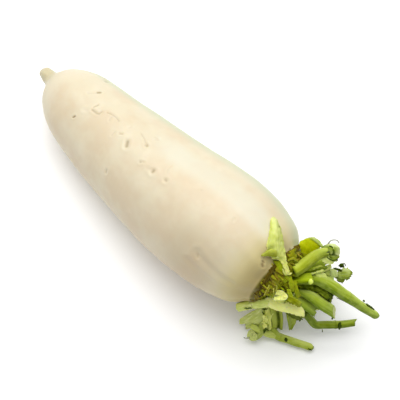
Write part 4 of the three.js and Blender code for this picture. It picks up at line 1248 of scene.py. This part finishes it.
# Small dark crumbs stuck to the stalks: where each starts and ends, how wide it is, and its seed.
CRUMBS = [
    ([20, -27, 14.5], [18, -22, 16.5], 2.0, 71),
    ([17, -24.5, 16], [21.5, -22.5, 14.5], 1.4, 72),
    ([1.5, -30.5, 41], [3.7, -28.6, 41.4], 1.1, 81),
    ([3.6, -28.8, 41.2], [6, -25, 42.6], 1.3, 82),
    ([6, -25.4, 42.6], [8.4, -23.8, 43], 1.0, 85),
    ([10, -20.5, 36], [13.5, -17.5, 38], 0.8, 83),
    ([10.5, -20, 30], [14, -21, 30], 0.9, 84),
    ([33, -16.5, 9.6], [35, -17.5, 6.4], 2.4, 73),
    ([49.5, -9.5, 6], [52.5, -8, 4.5], 2.0, 74),
    ([54.2, 17.6, 20.6], [57, 14.6, 16.4], 3.2, 75),
    ([48.3, 5.5, 17], [50, 4.4, 15.4], 0.8, 76),
    ([49.5, 11.5, 36], [50.5, 10.5, 34], 1.4, 77),
    ([-3, -31.5, 29], [0.5, -28.5, 31], 1.8, 78),
    ([0.5, -28, 32], [4, -25.5, 35], 2.2, 79),
    ([56.5, 36.2, 37.4], [58, 37, 36.4], 1.6, 80),
]
crumbs = []
for start, end, wide, seed in CRUMBS:
    start, end = numpy.array(start), numpy.array(end)
    aside = unit(numpy.cross(end - start, [0.3, -0.3, 0.9])) * wide / 2
    mid = (start + end) / 2
    lines = [[start + way * 0.4, mid + way, end + way * 0.3] for way in (aside, -aside)]
    crumbs.append(blade(lines, min(1.6, wide * 0.8), crinkle=0.3, seed=seed))
plant("stuck_crumbs", crumbs, DARK_LEAF)


# ---- The strips and tendrils ----
# Threads of skin that peeled off the stalks as they were cut, and dried to grey-brown curls. Each still holds
# on by one end.

DRY_THREAD = rind("dry_thread_skin", (150, 150, 130), (160, 160, 148), (150, 150, 140), (190, 190, 170),
                  (110, 112, 84), soft=0.1, rough=0.6)
THREADS = [
    dict(name="curled_tendril", width=[0.9, 0.8, 0.6],
         route=[[16.5, 35, 76], [16.5, 38, 78], [19, 41, 78], [21.5, 41.5, 76]]),
    dict(name="crumb_tendril", width=[0.9, 0.7], route=[[30.5, 38.7, 57], [31, 40, 57.5], [33, 39.8, 56]]),
    dict(name="peeled_strip", width=[1.6, 1.2, 0.5], depth=0.5,
         route=[[53, 28, 37.5], [47, 25.5, 39], [42, 23, 40]]),
    dict(name="stub_tendril", width=[1, 0.7], route=[[14.2, -35.2, 9], [12.5, -37.5, 9], [11, -38.5, 9]]),
]
for shape in THREADS:
    name = shape.pop("name")
    thread = stalk(wilt=0.05, torn=0.1, dish=0.05, end="withered", **shape)
    plant("dried_" + name, [thread], DRY_THREAD, name)


# ---- The painted shade in the gaps ----
# Where the stalks crowd together, and under the frill, the skins are painted darker as the shade that gathers
# there. Each place keeps how shut in it is, found by looking out from it in many directions.

LOOKS = 18
LOOK_REACH = 11.0
LOOK_FROM = 0.35  # how far over the skin each look starts
EVERY = 4  # looks are taken from every fourth ring and every fourth side
SHADE_FROM_STATION = 225  # the root's station from which it is looked at
golden = math.pi * (3 - math.sqrt(5))
looks = numpy.array([
    [math.sqrt(1 - z * z) * math.cos(golden * i), math.sqrt(1 - z * z) * math.sin(golden * i), z]
    for i, z in enumerate(numpy.linspace(-0.97, 0.97, LOOKS))
])


def shut_in(rings, others):
    """For each place on the skin, the share of looks outwards that meet something close, near things most."""
    rows = numpy.unique(numpy.r_[numpy.arange(0, len(rings), EVERY), len(rings) - 1])
    sides = numpy.arange(0, rings.shape[1], EVERY)
    places = rings[rows][:, sides]
    normal = outward_of(rings)[rows][:, sides]
    met = numpy.zeros(places.shape[:2])
    for i, j in numpy.ndindex(met.shape):
        start = Vector(places[i, j] + normal[i, j] * LOOK_FROM)
        for look, facing in zip(looks, looks @ normal[i, j]):
            hit = others.ray_cast(start, Vector(look if facing > 0 else -look), LOOK_REACH)
            if hit[0] is not None:
                met[i, j] += (1 - hit[3] / LOOK_REACH) ** 0.5 * (0.4 + abs(facing))
    met /= LOOKS * 0.9
    wrapped = numpy.c_[met, met[:, :1]]
    at_sides = numpy.r_[sides, rings.shape[1]]
    fine = numpy.stack([numpy.interp(numpy.arange(rings.shape[1]), at_sides, row) for row in wrapped])
    return numpy.stack([numpy.interp(numpy.arange(len(rings)), rows, column) for column in fine.T], axis=1)


corners, faces = [], []
for piece in [root, *(piece for piece, _ in crown_pieces)]:
    shift = len(corners)
    corners += [Vector(corner.co) / MM for corner in piece.data.vertices]
    faces += [[shift + corner for corner in face.vertices] for face in piece.data.polygons]
crown_and_root = BVHTree.FromPolygons(corners, faces)
for piece, skins in crown_pieces:
    occlusion_shade = [shut_in(skin["rings"], crown_and_root).ravel() for skin in skins]
    mark(piece, "occlusion_shade", numpy.concatenate(occlusion_shade))
shade_row = numpy.argmax(station[:, 0] > SHADE_FROM_STATION)
root_occlusion_shade = numpy.zeros(station.shape)
root_occlusion_shade[shade_row:] = shut_in(root_skin[shade_row:], crown_and_root)
mark(root, "occlusion_shade", root_occlusion_shade)


# ---- The table, the light and the camera ----
# A plain white table under one wide, soft studio light in a bright room. The radish lies loose on it, seen
# from above the crown's side.

TABLE_HALF = 6.0
ROOM_LIGHT = 0.35
LAMP_PLACE, LAMP_SIZE, LAMP_POWER = (-0.38, 0.28, 1.5), 1.6, 29.5
AIM = numpy.array([21, 9.5, 40])
DISTANCE = 656.8
RAISED = math.radians(65)
TURNED = math.radians(45.7)
FIELD_OF_VIEW = math.radians(26)

table_mesh = bpy.data.meshes.new("table")
table_corners = [(x * TABLE_HALF, y * TABLE_HALF, 0) for x, y in ((-1, -1), (1, -1), (1, 1), (-1, 1))]
table_mesh.from_pydata(table_corners, [], [(0, 1, 2, 3)])
table = stand("table", table_mesh)
white_top = Finish("table_white", 0.7, tone=(246, 246, 246), Specular_IOR_Level=0.1,
                   Emission_Color=(1, 1, 1, 1), Emission_Strength=0.1)
white_top.lay(white_top.clouds(400), (250, 250, 250))
white_top.put_on(table)
table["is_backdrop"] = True

sky = bpy.data.worlds.new("studio")
sky.use_nodes = True
sky.node_tree.nodes["Background"].inputs["Color"].default_value = (1, 1, 1, 1)
sky.node_tree.nodes["Background"].inputs["Strength"].default_value = ROOM_LIGHT
bpy.context.scene.world = sky

soft_box = bpy.data.lights.new("overhead", "AREA")
soft_box.shape = "SQUARE"
soft_box.size = LAMP_SIZE
soft_box.energy = LAMP_POWER
lamp = stand("overhead", soft_box)
lamp.location = LAMP_PLACE
lamp.rotation_euler = (-lamp.location).to_track_quat("-Z", "Y").to_euler()

camera = stand("camera", bpy.data.cameras.new("camera"))
camera.data.sensor_width = 36
camera.data.angle = FIELD_OF_VIEW
back = numpy.array([
    math.sin(TURNED) * math.cos(RAISED),
    -math.cos(TURNED) * math.cos(RAISED),
    math.sin(RAISED),
])
camera.location = (AIM + back * DISTANCE) * MM
camera.rotation_euler = (math.pi / 2 - RAISED, 0, TURNED)
bpy.context.scene.camera = camera
bpy.context.scene.view_settings.view_transform = "Standard"

low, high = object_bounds()
